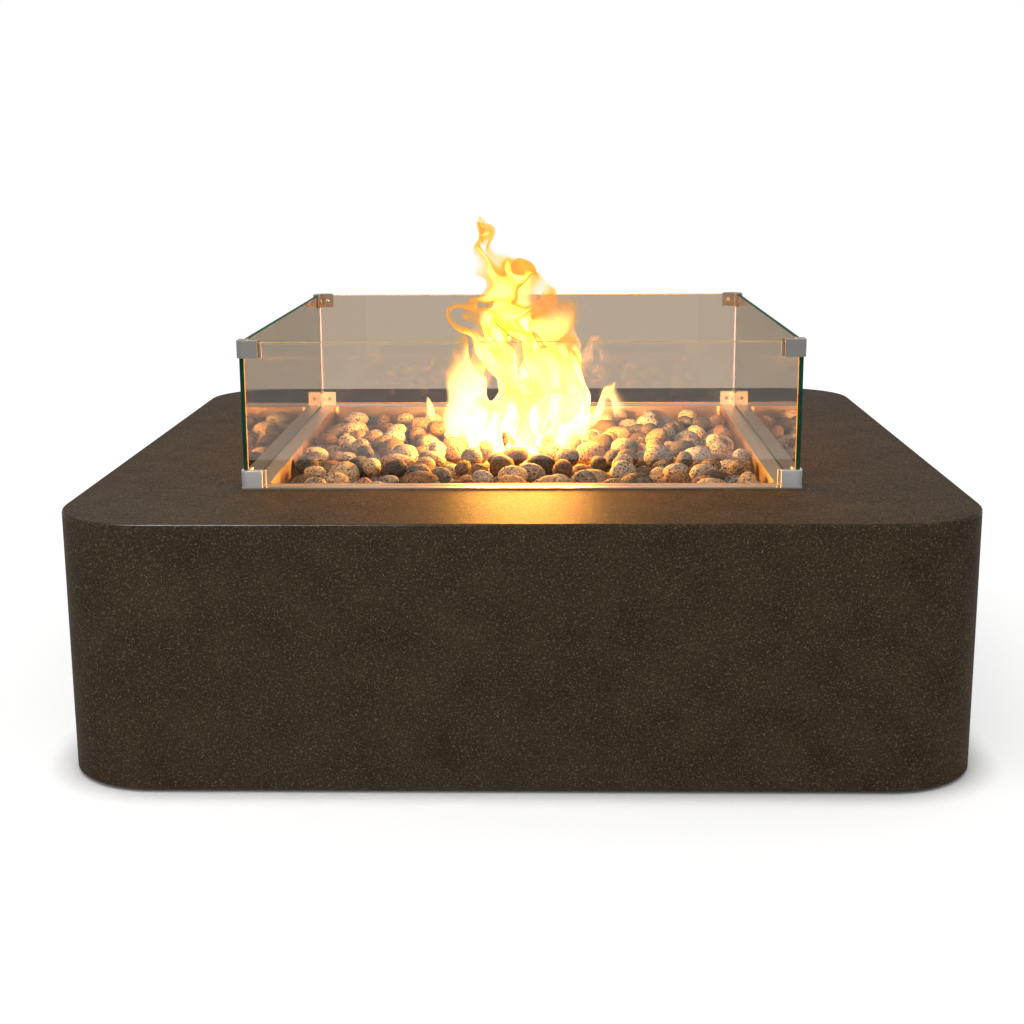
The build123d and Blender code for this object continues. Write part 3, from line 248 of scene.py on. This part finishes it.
def brushed_metal(name, code, roughness, brush_length_mm, brush_width_mm):
    """Rolled, drawn or plated metal, brushed along X: fine long scratches that draw its highlights out,
    under faint smudges. The scratches are drawn several times wider than real ones, so that they show."""
    made, tree = start_material(name)
    place = add(tree, "ShaderNodeTexCoord").outputs["Object"]
    stretch = (per_mm(brush_length_mm), per_mm(brush_width_mm), per_mm(brush_width_mm))
    along = add(tree, "ShaderNodeMapping", {"Vector": place, "Scale": stretch}).outputs[0]
    scratch = add(tree, "ShaderNodeTexNoise", {"Vector": along, "Scale": 1.0, "Detail": 4.0}).outputs["Fac"]
    smudge = add(tree, "ShaderNodeTexNoise", {
        "Vector": place, "Scale": per_mm(smudge_mm), "Detail": 3.0}).outputs["Fac"]
    mixed = add(tree, "ShaderNodeMath", {0: scratch, 1: smudge}, operation="MULTIPLY").outputs[0]
    rough = add(tree, "ShaderNodeMapRange", {
        "Value": mixed, "From Min": 0.1, "From Max": 0.45,
        "To Min": roughness - brush_smoother, "To Max": roughness + brush_rougher}).outputs[0]
    colour = add(tree, "ShaderNodeMix", {
        "Factor": smudge, "A": linear(code), "B": shaded(code, smudge_shade)},
        data_type="RGBA").outputs["Result"]
    bump = add(tree, "ShaderNodeBump", {"Height": scratch, "Strength": 0.12, "Distance": 0.0003}).outputs[0]
    shader = add(tree, "ShaderNodeBsdfPrincipled", {
        "Base Color": colour, "Metallic": 1.0, "Roughness": rough, "Normal": bump}).outputs[0]
    add(tree, "ShaderNodeOutputMaterial", {"Surface": shader})
    return made


def moulded(name, code, roughness, grain_mm):
    """Moulded or pressed plastic, rubber or ceramic: one colour with a fine grain, drawn coarser than
    the real one, so that it shows."""
    made, tree = start_material(name)
    place = add(tree, "ShaderNodeTexCoord").outputs["Object"]
    grain = add(tree, "ShaderNodeTexNoise", {
        "Vector": place, "Scale": per_mm(grain_mm), "Detail": 3.0}).outputs["Fac"]
    colour = add(tree, "ShaderNodeMix", {
        "Factor": grain, "A": linear(code), "B": shaded(code, grain_shade)},
        data_type="RGBA").outputs["Result"]
    rough = add(tree, "ShaderNodeMapRange", {
        "Value": grain, "To Min": roughness - grain_roughness,
        "To Max": roughness + grain_roughness}).outputs[0]
    bump = add(tree, "ShaderNodeBump", {"Height": grain, "Strength": 0.25, "Distance": 0.0003}).outputs[0]
    shader = add(tree, "ShaderNodeBsdfPrincipled", {
        "Base Color": colour, "Roughness": rough, "Normal": bump}).outputs[0]
    add(tree, "ShaderNodeOutputMaterial", {"Surface": shader})
    return made


def painted_pointer(name, code, paint):
    """Glass-filled nylon, moulded with a fine grain; paint is rolled on the pointer that stands out of
    the knob's face."""
    made = moulded(name, code, knob_roughness, knob_grain_mm)
    tree = made.node_tree
    place = add(tree, "ShaderNodeTexCoord").outputs["Object"]
    outwards = add(tree, "ShaderNodeSeparateXYZ", {0: place}).outputs["Y"]
    raised = add(tree, "ShaderNodeMath", {
        0: outwards, 1: pointer_face - pointer_paint}, operation="GREATER_THAN").outputs[0]
    shader = next(node for node in tree.nodes if node.type == "BSDF_PRINCIPLED")
    bare = shader.inputs["Base Color"].links[0].from_socket
    colour = add(tree, "ShaderNodeMix", {
        "Factor": raised, "A": bare, "B": linear(paint)}, data_type="RGBA").outputs["Result"]
    tree.links.new(colour, shader.inputs["Base Color"])
    return made


def float_glass(name, tint):
    """Tempered float glass: see-through, with sharp reflections."""
    made, tree = start_material(name)
    shader = add(tree, "ShaderNodeBsdfPrincipled", {
        "Base Color": linear(tint), "Roughness": 0.0, "IOR": glass_ior,
        "Transmission Weight": 1.0}).outputs[0]
    add(tree, "ShaderNodeOutputMaterial", {"Surface": shader})
    return made


def glass_edge(name, dark, light):
    """Ground edge of float glass: it has the colour of the light that comes to it along the panel."""
    made, tree = start_material(name)
    place = add(tree, "ShaderNodeTexCoord").outputs["Object"]
    streak = add(tree, "ShaderNodeTexNoise", {
        "Vector": place, "Scale": per_mm(edge_streak_mm), "Detail": 2.0}).outputs["Fac"]
    colour = add(tree, "ShaderNodeMix", {
        "Factor": streak, "A": linear(dark), "B": linear(light)}, data_type="RGBA").outputs["Result"]
    shader = add(tree, "ShaderNodeBsdfPrincipled", {
        "Base Color": colour, "Roughness": 0.5, "Specular IOR Level": 0.01}).outputs[0]
    add(tree, "ShaderNodeOutputMaterial", {"Surface": shader})
    return made


def lava(name, light, dark, pore_shade):
    """Tumbled lava: matt, finely specked, full of small gas holes, sunk by the bump and painted dark as
    the shade inside them. Each stone has its own tint, between its dark and its light colour."""
    made, tree = start_material(name)
    place = add(tree, "ShaderNodeTexCoord").outputs["Object"]
    tint = add(tree, "ShaderNodeAttribute", attribute_name="tint").outputs["Fac"]
    speckle = add(tree, "ShaderNodeTexNoise", {
        "Vector": place, "Scale": per_mm(lava_speckle_mm), "Detail": 4.0}).outputs["Fac"]
    patch = add(tree, "ShaderNodeTexNoise", {
        "Vector": place, "Scale": per_mm(lava_patch_mm), "Detail": 3.0}).outputs["Fac"]
    blend = add(tree, "ShaderNodeMath", {0: patch, 1: tint}, operation="ADD").outputs[0]
    share = add(tree, "ShaderNodeMapRange", {
        "Value": blend, "From Min": 0.55, "From Max": 1.45}, interpolation_type="SMOOTHSTEP").outputs[0]
    body = add(tree, "ShaderNodeMix", {
        "Factor": share, "A": linear(dark), "B": linear(light)}, data_type="RGBA").outputs["Result"]
    spot_lightness = add(tree, "ShaderNodeMapRange", {
        "Value": speckle, "From Min": 0.35, "From Max": 0.65, "To Min": 0.55, "To Max": 1.4}).outputs[0]
    flecked = add(tree, "ShaderNodeVectorMath", {0: body, 1: spot_lightness}, operation="MULTIPLY").outputs[0]
    cells = add(tree, "ShaderNodeTexVoronoi", {
        "Vector": place, "Scale": per_mm(lava_pore_mm), "Randomness": 1.0}).outputs["Distance"]
    hole = add(tree, "ShaderNodeMapRange", {
        "Value": cells, "From Min": 0.16, "From Max": 0.40, "To Min": 1.0, "To Max": 0.0},
        interpolation_type="SMOOTHSTEP").outputs[0]
    open_pores = add(tree, "ShaderNodeMapRange", {
        "Value": patch, "From Min": 0.22, "From Max": 0.46}).outputs[0]
    pores_and_painted_shade = add(tree, "ShaderNodeMath", {0: hole, 1: open_pores}, operation="MULTIPLY").outputs[0]
    # painted shade: the pores are drawn dark, as the shade that falls in them
    colour = add(tree, "ShaderNodeMix", {
        "Factor": pores_and_painted_shade, "A": flecked, "B": linear(pore_shade)}, data_type="RGBA").outputs["Result"]
    height = add(tree, "ShaderNodeMath", {0: speckle, 1: pores_and_painted_shade}, operation="SUBTRACT").outputs[0]
    bump = add(tree, "ShaderNodeBump", {"Height": height, "Strength": 0.9, "Distance": 0.0018}).outputs[0]
    shader = add(tree, "ShaderNodeBsdfPrincipled", {
        "Base Color": colour, "Roughness": 0.85, "Normal": bump, "Specular IOR Level": 0.3}).outputs[0]
    add(tree, "ShaderNodeOutputMaterial", {"Surface": shader})
    return made


def burning_gas():
    """Luminous gas: dense at the axis, thinner outwards and upwards, torn into licks by upright folds.
    Where it is thin it is gold and dims what is behind it, and where it is dense it is white-hot."""
    made, tree = start_material("burning_gas")
    made.cycles.volume_step_rate = flame_step
    spot = add(tree, "ShaderNodeTexCoord").outputs["Object"]
    moved = add(tree, "ShaderNodeVectorMath", {
        0: spot, 1: (flame_seed, 0.0, 0.0)}, operation="ADD").outputs[0]
    height = add(tree, "ShaderNodeSeparateXYZ", {0: spot}).outputs["Z"]
    rise = add(tree, "ShaderNodeMapRange", {
        "Value": height, "From Min": flame_foot, "From Max": flame_foot + flame_height}).outputs[0]

    # Bent by swirls and leaning
    swirl = add(tree, "ShaderNodeTexNoise", {
        "Vector": moved, "Scale": 1.0 / flame_drift, "Detail": 1.0}).outputs["Color"]
    centred = add(tree, "ShaderNodeVectorMath", {
        0: swirl, 1: (0.5, 0.5, 0.5)}, operation="SUBTRACT").outputs[0]
    sway = add(tree, "ShaderNodeMapRange", {
        "Value": rise, "To Min": flame_sway_foot, "To Max": flame_sway_tip}).outputs[0]
    shift = add(tree, "ShaderNodeVectorMath", {0: centred, "Scale": sway}, operation="SCALE").outputs[0]
    lean = add(tree, "ShaderNodeMath", {0: flame_lean, 1: rise}, operation="MULTIPLY").outputs[0]
    axis = add(tree, "ShaderNodeCombineXYZ", {"X": lean}).outputs[0]
    from_lean = add(tree, "ShaderNodeVectorMath", {0: spot, 1: axis}, operation="SUBTRACT").outputs[0]
    place = add(tree, "ShaderNodeVectorMath", {0: from_lean, 1: shift}, operation="ADD").outputs[0]

    # How far out a spot is, in half widths at its height
    level = add(tree, "ShaderNodeVectorMath", {
        0: place, 1: (1.0, flame_flat, 0.0)}, operation="MULTIPLY").outputs[0]
    from_axis = add(tree, "ShaderNodeVectorMath", {0: level}, operation="LENGTH").outputs["Value"]
    left_to_rise = add(tree, "ShaderNodeMath", {0: flame_close, 1: rise}, operation="SUBTRACT").outputs[0]
    narrow = add(tree, "ShaderNodeMath", {0: left_to_rise, 1: flame_taper}, operation="POWER").outputs[0]
    width = add(tree, "ShaderNodeMath", {0: narrow, 1: flame_reach}, operation="MULTIPLY").outputs[0]
    outward = add(tree, "ShaderNodeMath", {0: from_axis, 1: width}, operation="DIVIDE").outputs[0]

    # How far out the gas reaches there, between the folds
    upright = add(tree, "ShaderNodeVectorMath", {
        0: place, 1: flame_fold_shape}, operation="MULTIPLY").outputs[0]
    noise = add(tree, "ShaderNodeTexNoise", {
        "Vector": upright, "Scale": 1.0 / flame_fold, "Detail": 1.0}).outputs["Fac"]
    signed = add(tree, "ShaderNodeMath", {0: noise, 1: 0.5}, operation="SUBTRACT").outputs[0]
    fold = add(tree, "ShaderNodeMath", {0: signed}, operation="ABSOLUTE").outputs[0]
    torn = add(tree, "ShaderNodeMath", {
        0: fold, 1: -flame_tear, 2: flame_uncut}, operation="MULTIPLY_ADD").outputs[0]
    rooted = add(tree, "ShaderNodeMapRange", {
        "Value": rise, "From Min": 0.0, "From Max": flame_root,
        "To Min": -flame_root_pinch, "To Max": 0.0}).outputs[0]
    strands = add(tree, "ShaderNodeMath", {0: torn, 1: rooted}, operation="ADD").outputs[0]
    thinned = add(tree, "ShaderNodeMath", {
        0: rise, 1: -flame_thinning, 2: strands}, operation="MULTIPLY_ADD").outputs[0]
    excess = add(tree, "ShaderNodeMath", {0: thinned, 1: outward}, operation="SUBTRACT").outputs[0]

    # Density and glow
    body = add(tree, "ShaderNodeMapRange", {
        "Value": excess, "From Min": 0.0, "From Max": flame_skin,
        "To Min": 0.0, "To Max": flame_density}).outputs[0]
    warmth = add(tree, "ShaderNodeMath", {
        0: rise, 1: -flame_cooling, 2: excess}, operation="MULTIPLY_ADD").outputs[0]
    heat = add(tree, "ShaderNodeMapRange", {
        "Value": warmth, "From Min": flame_coolest, "From Max": flame_hottest,
        "To Min": flame_glow_coolest, "To Max": flame_glow_hottest}).outputs[0]
    power = add(tree, "ShaderNodeMath", {0: body, 1: heat}, operation="MULTIPLY").outputs[0]
    dims = add(tree, "ShaderNodeVolumeAbsorption", {"Color": linear("f7ce00"), "Density": body}).outputs[0]
    glow = add(tree, "ShaderNodeEmission", {"Color": linear("ffd08e"), "Strength": power}).outputs[0]
    both = add(tree, "ShaderNodeAddShader", {0: dims, 1: glow}).outputs[0]
    add(tree, "ShaderNodeOutputMaterial", {"Volume": both})
    return made


def finish_frame():
    """Gives every node of the frame its own finish or that of its material slot."""
    # Metals: colour, roughness, length and width of a scratch in millimetres.
    # Mouldings: colour, roughness and size of the grain in millimetres.
    finishes = {
        "textured_powder_coat": powder_coat(),
        "stainless_sheet": brushed_metal("stainless_sheet_brushed", "c6b8a8", 0.34, 60, 0.5),
        # The clips are one stainless steel: the lower ones are painted lighter, a painted reflection, and the
        # upper ones darker, a painted shade
        "bottom_clips": brushed_metal("stainless_clip_painted_highlight", "d8dadb", 0.47, 20, 0.3),
        "top_clips": brushed_metal("stainless_clip_painted_shade", "827f7a", 0.38, 20, 0.3),
        "stainless_burner": brushed_metal("stainless_tube_heat_tinted", "8a7764", 0.40, 12, 0.6),
        "screw_steel": brushed_metal("zinc_plated_screw", "c6c6c6", 0.25, 3, 0.3),
        "zinc_steel": brushed_metal("zinc_plated_steel", "b4b7ba", 0.38, 8, 0.8),
        "brass": brushed_metal("machined_brass", "c39a52", 0.30, 6, 0.3),
        "foot_rubber": moulded("moulded_rubber_black", "161616", 0.75, 1.5),
        "line_rubber": moulded("hose_rubber_black", "1c1c1e", 0.6, 1.2),
        "lead_sleeve": moulded("silicone_sleeve_buff", "bcae98", 0.55, 1.0),
        "copper_lead": brushed_metal("copper_tube", "b8744c", 0.32, 6, 0.4),
        "knob_plastic": painted_pointer("glass_filled_nylon_black", "1a1a1a", "e8e6e0"),
        "igniter_plastic": moulded("abs_black", "1d1d1d", 0.35, 0.8),
        "button_plastic": moulded("abs_red", "8c1d16", 0.3, 0.8),
        "bezel_chrome": brushed_metal("chromed_ring", "d8d8d8", 0.14, 4, 0.2),
        "white_ceramic": moulded("alumina_glazed_white", "dcd7cc", 0.25, 1.0),
        "magnet_ferrite": moulded("ferrite_sintered", "2a2a2a", 0.6, 0.6),
    }
    for row in frame["record"]["subparts"]:
        for finished in (row["material_slot"], row["node"]):
            if finished in finishes:
                for slot in frame["nodes"][row["node"]].material_slots:
                    slot.material = finishes[finished]


def link_piece(name, mesh):
    """An object for a finished mesh, at the origin."""
    piece = bpy.data.objects.new(name, mesh)
    bpy.context.scene.collection.objects.link(piece)
    return piece


def glass_panel(node, face, edge):
    """A panel of the wind guard with see-through faces and ground edges."""
    low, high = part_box(node)
    size = high - low
    shape = bmesh.new()
    fitted = Matrix.Translation((low + high) / 2) @ Matrix.Diagonal(size).to_4x4()
    bmesh.ops.create_cube(shape, size=1.0, matrix=fitted)
    bmesh.ops.bevel(shape, geom=shape.edges[:], offset=edge_arris, segments=2, profile=0.5, affect="EDGES")
    through = min(range(3), key=lambda axis: size[axis])
    for side in shape.faces:
        side.material_index = 0 if abs(side.normal[through]) > pane_normal else 1
    mesh = bpy.data.meshes.new(node + "_clear")
    shape.to_mesh(mesh)
    shape.free()
    mesh.materials.append(face)
    mesh.materials.append(edge)
    panel = link_piece(node + "_clear", mesh)
    panel.visible_shadow = False
    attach(panel, "wind_guard")
    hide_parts(node)


def stones_of(node):
    """Middle, half axes and turning of each stone of a node, from the moments of its closed surface."""
    mesh = frame["nodes"][node].data
    points = np.empty(len(mesh.vertices) * 3)
    mesh.vertices.foreach_get("co", points)
    points = points.reshape(-1, 3)
    mesh.calc_loop_triangles()
    corners = np.empty(len(mesh.loop_triangles) * 3, dtype=np.int64)
    mesh.loop_triangles.foreach_get("vertices", corners)

    # Triangles that share corners are one stone
    _, merged = np.unique(np.round(points, 6), axis=0, return_inverse=True)
    triangles = merged.reshape(-1)[corners].reshape(-1, 3)
    label = np.arange(merged.max() + 1)
    while True:
        lowest = label[triangles].min(axis=1)
        before = label.copy()
        for side in range(3):
            np.minimum.at(label, triangles[:, side], lowest)
        label = label[label]
        if np.array_equal(label, before):
            break
    stone_of = np.unique(label[triangles[:, 0]], return_inverse=True)[1]

    # Each triangle closes a tetrahedron, first with the origin and then with its stone's middle
    a, b, c = (points[corners.reshape(-1, 3)[:, side]] for side in range(3))
    volume = np.einsum("ij,ij->i", a, np.cross(b, c)) / 6
    total = np.bincount(stone_of, volume)
    middle = np.stack([np.bincount(stone_of, volume * (a + b + c)[:, axis] / 4) for axis in range(3)], 1)
    middle /= total[:, None]
    a, b, c = (corner - middle[stone_of] for corner in (a, b, c))
    volume = np.einsum("ij,ij->i", a, np.cross(b, c)) / 6
    whole = a + b + c
    spread = sum(np.einsum("ij,ik->ijk", v, v) for v in (a, b, c, whole)) * volume[:, None, None] / 20

    # An ellipsoid's second moments are a fifth of the squares of its half axes
    stones = []
    for stone in range(len(total)):
        moments = spread[stone_of == stone].sum(axis=0) / total[stone]
        squares, axes = np.linalg.eigh(moments)
        axes[:, 0] *= np.linalg.det(axes)
        stones.append((Vector(middle[stone]), np.sqrt(5 * squares), Matrix(axes.tolist()).to_quaternion()))
    return stones


def stone_tree():
    """Geometry nodes: a rounded cube on every point, turned and stretched, then lumped and dented."""
    tree = bpy.data.node_groups.new("tumbled_stones", "GeometryNodeTree")
    face = tree.interface
    face.new_socket("Geometry", in_out="INPUT", socket_type="NodeSocketGeometry")
    face.new_socket("Cuts", in_out="INPUT", socket_type="NodeSocketInt")
    for name in ("Lump size", "Lump depth", "Dent size", "Dent depth"):
        face.new_socket(name, in_out="INPUT", socket_type="NodeSocketFloat")
    face.new_socket("Finish", in_out="INPUT", socket_type="NodeSocketMaterial")
    face.new_socket("Geometry", in_out="OUTPUT", socket_type="NodeSocketGeometry")
    given = add(tree, "NodeGroupInput").outputs
    cuts = given["Cuts"]
    cube = add(tree, "GeometryNodeMeshCube", {
        "Vertices X": cuts, "Vertices Y": cuts, "Vertices Z": cuts}).outputs[0]
    spot = add(tree, "GeometryNodeInputPosition").outputs[0]
    round_spot = add(tree, "ShaderNodeVectorMath", {0: spot}, operation="NORMALIZE").outputs[0]
    ball = add(tree, "GeometryNodeSetPosition", {"Geometry": cube, "Position": round_spot}).outputs[0]
    turn = add(tree, "GeometryNodeInputNamedAttribute", {
        "Name": "turn"}, data_type="QUATERNION").outputs["Attribute"]
    half_axes = add(tree, "GeometryNodeInputNamedAttribute", {
        "Name": "half_axes"}, data_type="FLOAT_VECTOR").outputs["Attribute"]
    placed = add(tree, "GeometryNodeInstanceOnPoints", {
        "Points": given["Geometry"], "Instance": ball, "Rotation": turn, "Scale": half_axes}).outputs[0]
    shape = add(tree, "GeometryNodeRealizeInstances", {"Geometry": placed}).outputs[0]
    outward = add(tree, "GeometryNodeInputNormal").outputs[0]
    for size, depth in (("Lump size", "Lump depth"), ("Dent size", "Dent depth")):
        scale = add(tree, "ShaderNodeMath", {0: 1.0, 1: given[size]}, operation="DIVIDE").outputs[0]
        rise = add(tree, "ShaderNodeTexNoise", {"Vector": spot, "Scale": scale, "Detail": 1.0}).outputs["Fac"]
        level = add(tree, "ShaderNodeMath", {0: rise, 1: stone_skin}, operation="SUBTRACT").outputs[0]
        reach = add(tree, "ShaderNodeMath", {0: level, 1: given[depth]}, operation="MULTIPLY").outputs[0]
        offset = add(tree, "ShaderNodeVectorMath", {0: outward, "Scale": reach}, operation="SCALE").outputs[0]
        shape = add(tree, "GeometryNodeSetPosition", {"Geometry": shape, "Offset": offset}).outputs[0]
    smooth = add(tree, "GeometryNodeSetShadeSmooth", {"Geometry": shape}).outputs[0]
    finished = add(tree, "GeometryNodeSetMaterial", {
        "Geometry": smooth, "Material": given["Finish"]}).outputs[0]
    add(tree, "NodeGroupOutput", {"Geometry": finished})
    return tree


def grown(source, tree, values):
    """The plain mesh that a node tree makes of a source object, with its named inputs set."""
    modifier = source.modifiers.new("nodes", "NODES")
    modifier.node_group = tree
    for socket in tree.interface.items_tree:
        if socket.in_out == "INPUT" and socket.name in values:
            modifier[socket.identifier] = values[socket.name]
    shaped = source.evaluated_get(bpy.context.evaluated_depsgraph_get())
    mesh = bpy.data.meshes.new_from_object(shaped)
    bpy.data.objects.remove(source)
    return mesh


def lava_stones(node, tree, finish, draw):
    """The stones of one colour, each where the frame has it."""
    stones = stones_of(node)
    mesh = bpy.data.meshes.new(node + "_points")
    mesh.from_pydata([middle for middle, _, _ in stones], [], [])
    for name, kind in (("turn", "QUATERNION"), ("half_axes", "FLOAT_VECTOR"), ("tint", "FLOAT")):
        mesh.attributes.new(name, kind, "POINT")
    mesh.attributes["turn"].data.foreach_set("value", [part for _, _, turning in stones for part in turning])
    mesh.attributes["half_axes"].data.foreach_set("vector", [half for _, axes, _ in stones for half in axes])
    mesh.attributes["tint"].data.foreach_set("value", [draw.random() for _ in stones])
    shaped = grown(link_piece(node + "_points", mesh), tree, {
        "Cuts": stone_cuts, "Lump size": stone_lump, "Lump depth": stone_lump_depth,
        "Dent size": stone_dent, "Dent depth": stone_dent_depth, "Finish": finish})
    piece = link_piece(node + "_porous", shaped)
    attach(piece, "enclosure")
    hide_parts(node)


def flame():
    """The burning gas over the burner. It is light, not a piece of the table, so it belongs to the stage."""
    shape = bmesh.new()
    middle = Matrix.Translation((0, 0, flame_foot + flame_height / 2))
    bmesh.ops.create_cone(shape, cap_ends=True, segments=flame_hull_sides, radius1=flame_hull_foot,
                          radius2=flame_hull_tip, depth=flame_height, matrix=middle)
    mesh = bpy.data.meshes.new("flame")
    shape.to_mesh(mesh)
    shape.free()
    mesh.materials.append(burning_gas())
    burning = link_piece("flame", mesh)
    burning.visible_shadow = False
    burning.visible_diffuse = False


def lamp(name, kind, place, watts, colour, aim=None, **settings):
    """A lamp at a place, turned towards aim where it has a direction."""
    light = bpy.data.lights.new(name, kind)
    light.energy = watts
    light.color = linear(colour)[:3]
    for setting, value in settings.items():
        setattr(light, setting, value)
    made = bpy.data.objects.new(name, light)
    made.location = place
    if aim is not None:
        made.rotation_euler = (Vector(aim) - Vector(place)).to_track_quat("-Z", "Y").to_euler()
    bpy.context.scene.collection.objects.link(made)
    return made


def fire_light():
    """The flame's warm light on stones, pan, glass and table."""
    for number, spot in enumerate(fire_spots):
        glow = lamp(f"fire_{number}", "POINT", spot, fire_watts, fire_colour, shadow_soft_size=fire_radius)
        glow.visible_transmission = False


def shown_white(tree):
    """1 for the rays that see the background itself: from the camera, through glass, off metal and glass."""
    path = add(tree, "ShaderNodeLightPath").outputs
    direct = add(tree, "ShaderNodeMath", {
        0: path["Is Camera Ray"], 1: path["Is Transmission Ray"]}, operation="MAXIMUM").outputs[0]
    return add(tree, "ShaderNodeMath", {0: direct, 1: path["Is Glossy Ray"]}, operation="MAXIMUM").outputs[0]


def floor():
    """White paper that keeps the table's shadow. Under the table it isn't lifted towards white, or it
    would shine through the door's slots."""
    paper, tree = start_material("white_paper_floor")
    matt = add(tree, "ShaderNodeBsdfDiffuse", {"Color": linear(floor_colour)}).outputs[0]
    near = add(tree, "ShaderNodeAmbientOcclusion", {"Distance": floor_contact}).outputs["AO"]
    white = add(tree, "ShaderNodeMapRange", {
        "Value": near, "From Min": floor_open, "From Max": 1.0,
        "To Min": 0.0, "To Max": floor_lift}).outputs[0]
    lift = add(tree, "ShaderNodeMath", {0: shown_white(tree), 1: white}, operation="MULTIPLY").outputs[0]
    glow = add(tree, "ShaderNodeEmission", {"Strength": lift}).outputs[0]
    both = add(tree, "ShaderNodeAddShader", {0: matt, 1: glow}).outputs[0]
    add(tree, "ShaderNodeOutputMaterial", {"Surface": both})

    covered, tree = start_material("white_paper_under_table")
    plain = add(tree, "ShaderNodeBsdfDiffuse", {"Color": linear(floor_colour)}).outputs[0]
    add(tree, "ShaderNodeOutputMaterial", {"Surface": plain})

    corners = ((-1, -1), (1, -1), (1, 1), (-1, 1))
    points = [(size * x, size * y, 0) for size in (floor_reach, floor_covered) for x, y in corners]
    around = [(i, (i + 1) % 4, 4 + (i + 1) % 4, 4 + i) for i in range(4)]
    under = (4, 5, 6, 7)
    mesh = bpy.data.meshes.new("floor")
    mesh.from_pydata(points, [], around + [under])
    mesh.materials.append(paper)
    mesh.materials.append(covered)
    mesh.polygons[len(around)].material_index = 1
    link_piece("floor", mesh)


def studio():
    """White surroundings, two soft lamps, and a narrow one whose gleam runs along the top's front edge
    and that lights nothing but the coated shell."""
    world = bpy.data.worlds.new("white_surroundings")
    world.use_nodes = True
    tree = world.node_tree
    tree.nodes.clear()
    lit_by, seen = (
        add(tree, "ShaderNodeBackground", {"Color": linear("ffffff"), "Strength": strength}).outputs[0]
        for strength in (surroundings_light, surroundings_seen))
    mixed = add(tree, "ShaderNodeMixShader", {0: shown_white(tree), 1: lit_by, 2: seen}).outputs[0]
    add(tree, "ShaderNodeOutputWorld", {"Surface": mixed})
    bpy.context.scene.world = world

    for name, place, watts, colour, size in soft_boxes:
        lamp(name, "AREA", place, watts, colour, soft_box_aim, shape="SQUARE", size=size)
    strip = lamp("edge_strip", "AREA", strip_place, strip_watts, "ffffff", strip_aim, shape="RECTANGLE",
                 size=strip_size[0], size_y=strip_size[1], spread=strip_spread)
    strip.visible_diffuse = False
    coated = bpy.data.collections.new("lit_by_edge_strip")
    coated.objects.link(frame["nodes"]["enclosure_shell"])
    strip.light_linking.receiver_collection = coated


def camera():
    """A camera at the photograph's place, angle and field of view."""
    ahead = Vector((math.sin(camera_yaw) * math.cos(camera_down),
                    math.cos(camera_yaw) * math.cos(camera_down), -math.sin(camera_down)))
    right = Vector((math.cos(camera_yaw), -math.sin(camera_yaw), 0))
    up = right.cross(ahead)
    turned_right = math.cos(camera_roll) * right + math.sin(camera_roll) * up
    turned_up = math.cos(camera_roll) * up - math.sin(camera_roll) * right
    lens = bpy.data.cameras.new("camera")
    lens.lens = camera_lens
    lens.sensor_width = camera_sensor
    made = bpy.data.objects.new("camera", lens)
    made.matrix_world = Matrix((turned_right, turned_up, -ahead)).transposed().to_4x4()
    made.location = camera_place
    bpy.context.scene.collection.objects.link(made)
    bpy.context.scene.camera = made


bpy.context.scene.view_settings.view_transform = "Standard"
camera()
floor()
studio()
finish_frame()
green_edge = glass_edge("float_glass_edge_green", "0f2f24", "245846")
# painted light: the amber of the front and rear panes' edges is the flame's glow carried along them
firelight_painted_edge = glass_edge("float_glass_edge_painted_firelight", "a87c30", "f0cb7c")
clear_glass = float_glass("float_glass_clear", "f6f2ea")
# The panes are one glass: the rear and side panes are tinted darker and greyer as a painted haze of
# reflections, the sides darkest
rear_glass_painted_haze = float_glass("float_glass_rear_painted_haze", "b09f8c")
side_glass_painted_haze = float_glass("float_glass_sides_painted_haze", "867a69")
glass_panel("glass_front", clear_glass, firelight_painted_edge)
glass_panel("glass_rear", rear_glass_painted_haze, firelight_painted_edge)
glass_panel("glass_left", side_glass_painted_haze, green_edge)
glass_panel("glass_right", side_glass_painted_haze, green_edge)
tree = stone_tree()
draw = random.Random(stone_seed)
# light, dark and pore colour of each lava; the pore colour is painted shade
lavas = (
    lava("lava_grey_tumbled", "aca398", "4d4843", "1d1a18"),
    lava("lava_tan_tumbled", "cbb18f", "6f5c49", "2b211a"),
    lava("lava_rust_tumbled", "b18a6c", "5e4638", "2a1c15"),
)
for node, finish in zip(stone_nodes, lavas):
    lava_stones(node, tree, finish, draw)
flame()
fire_light()
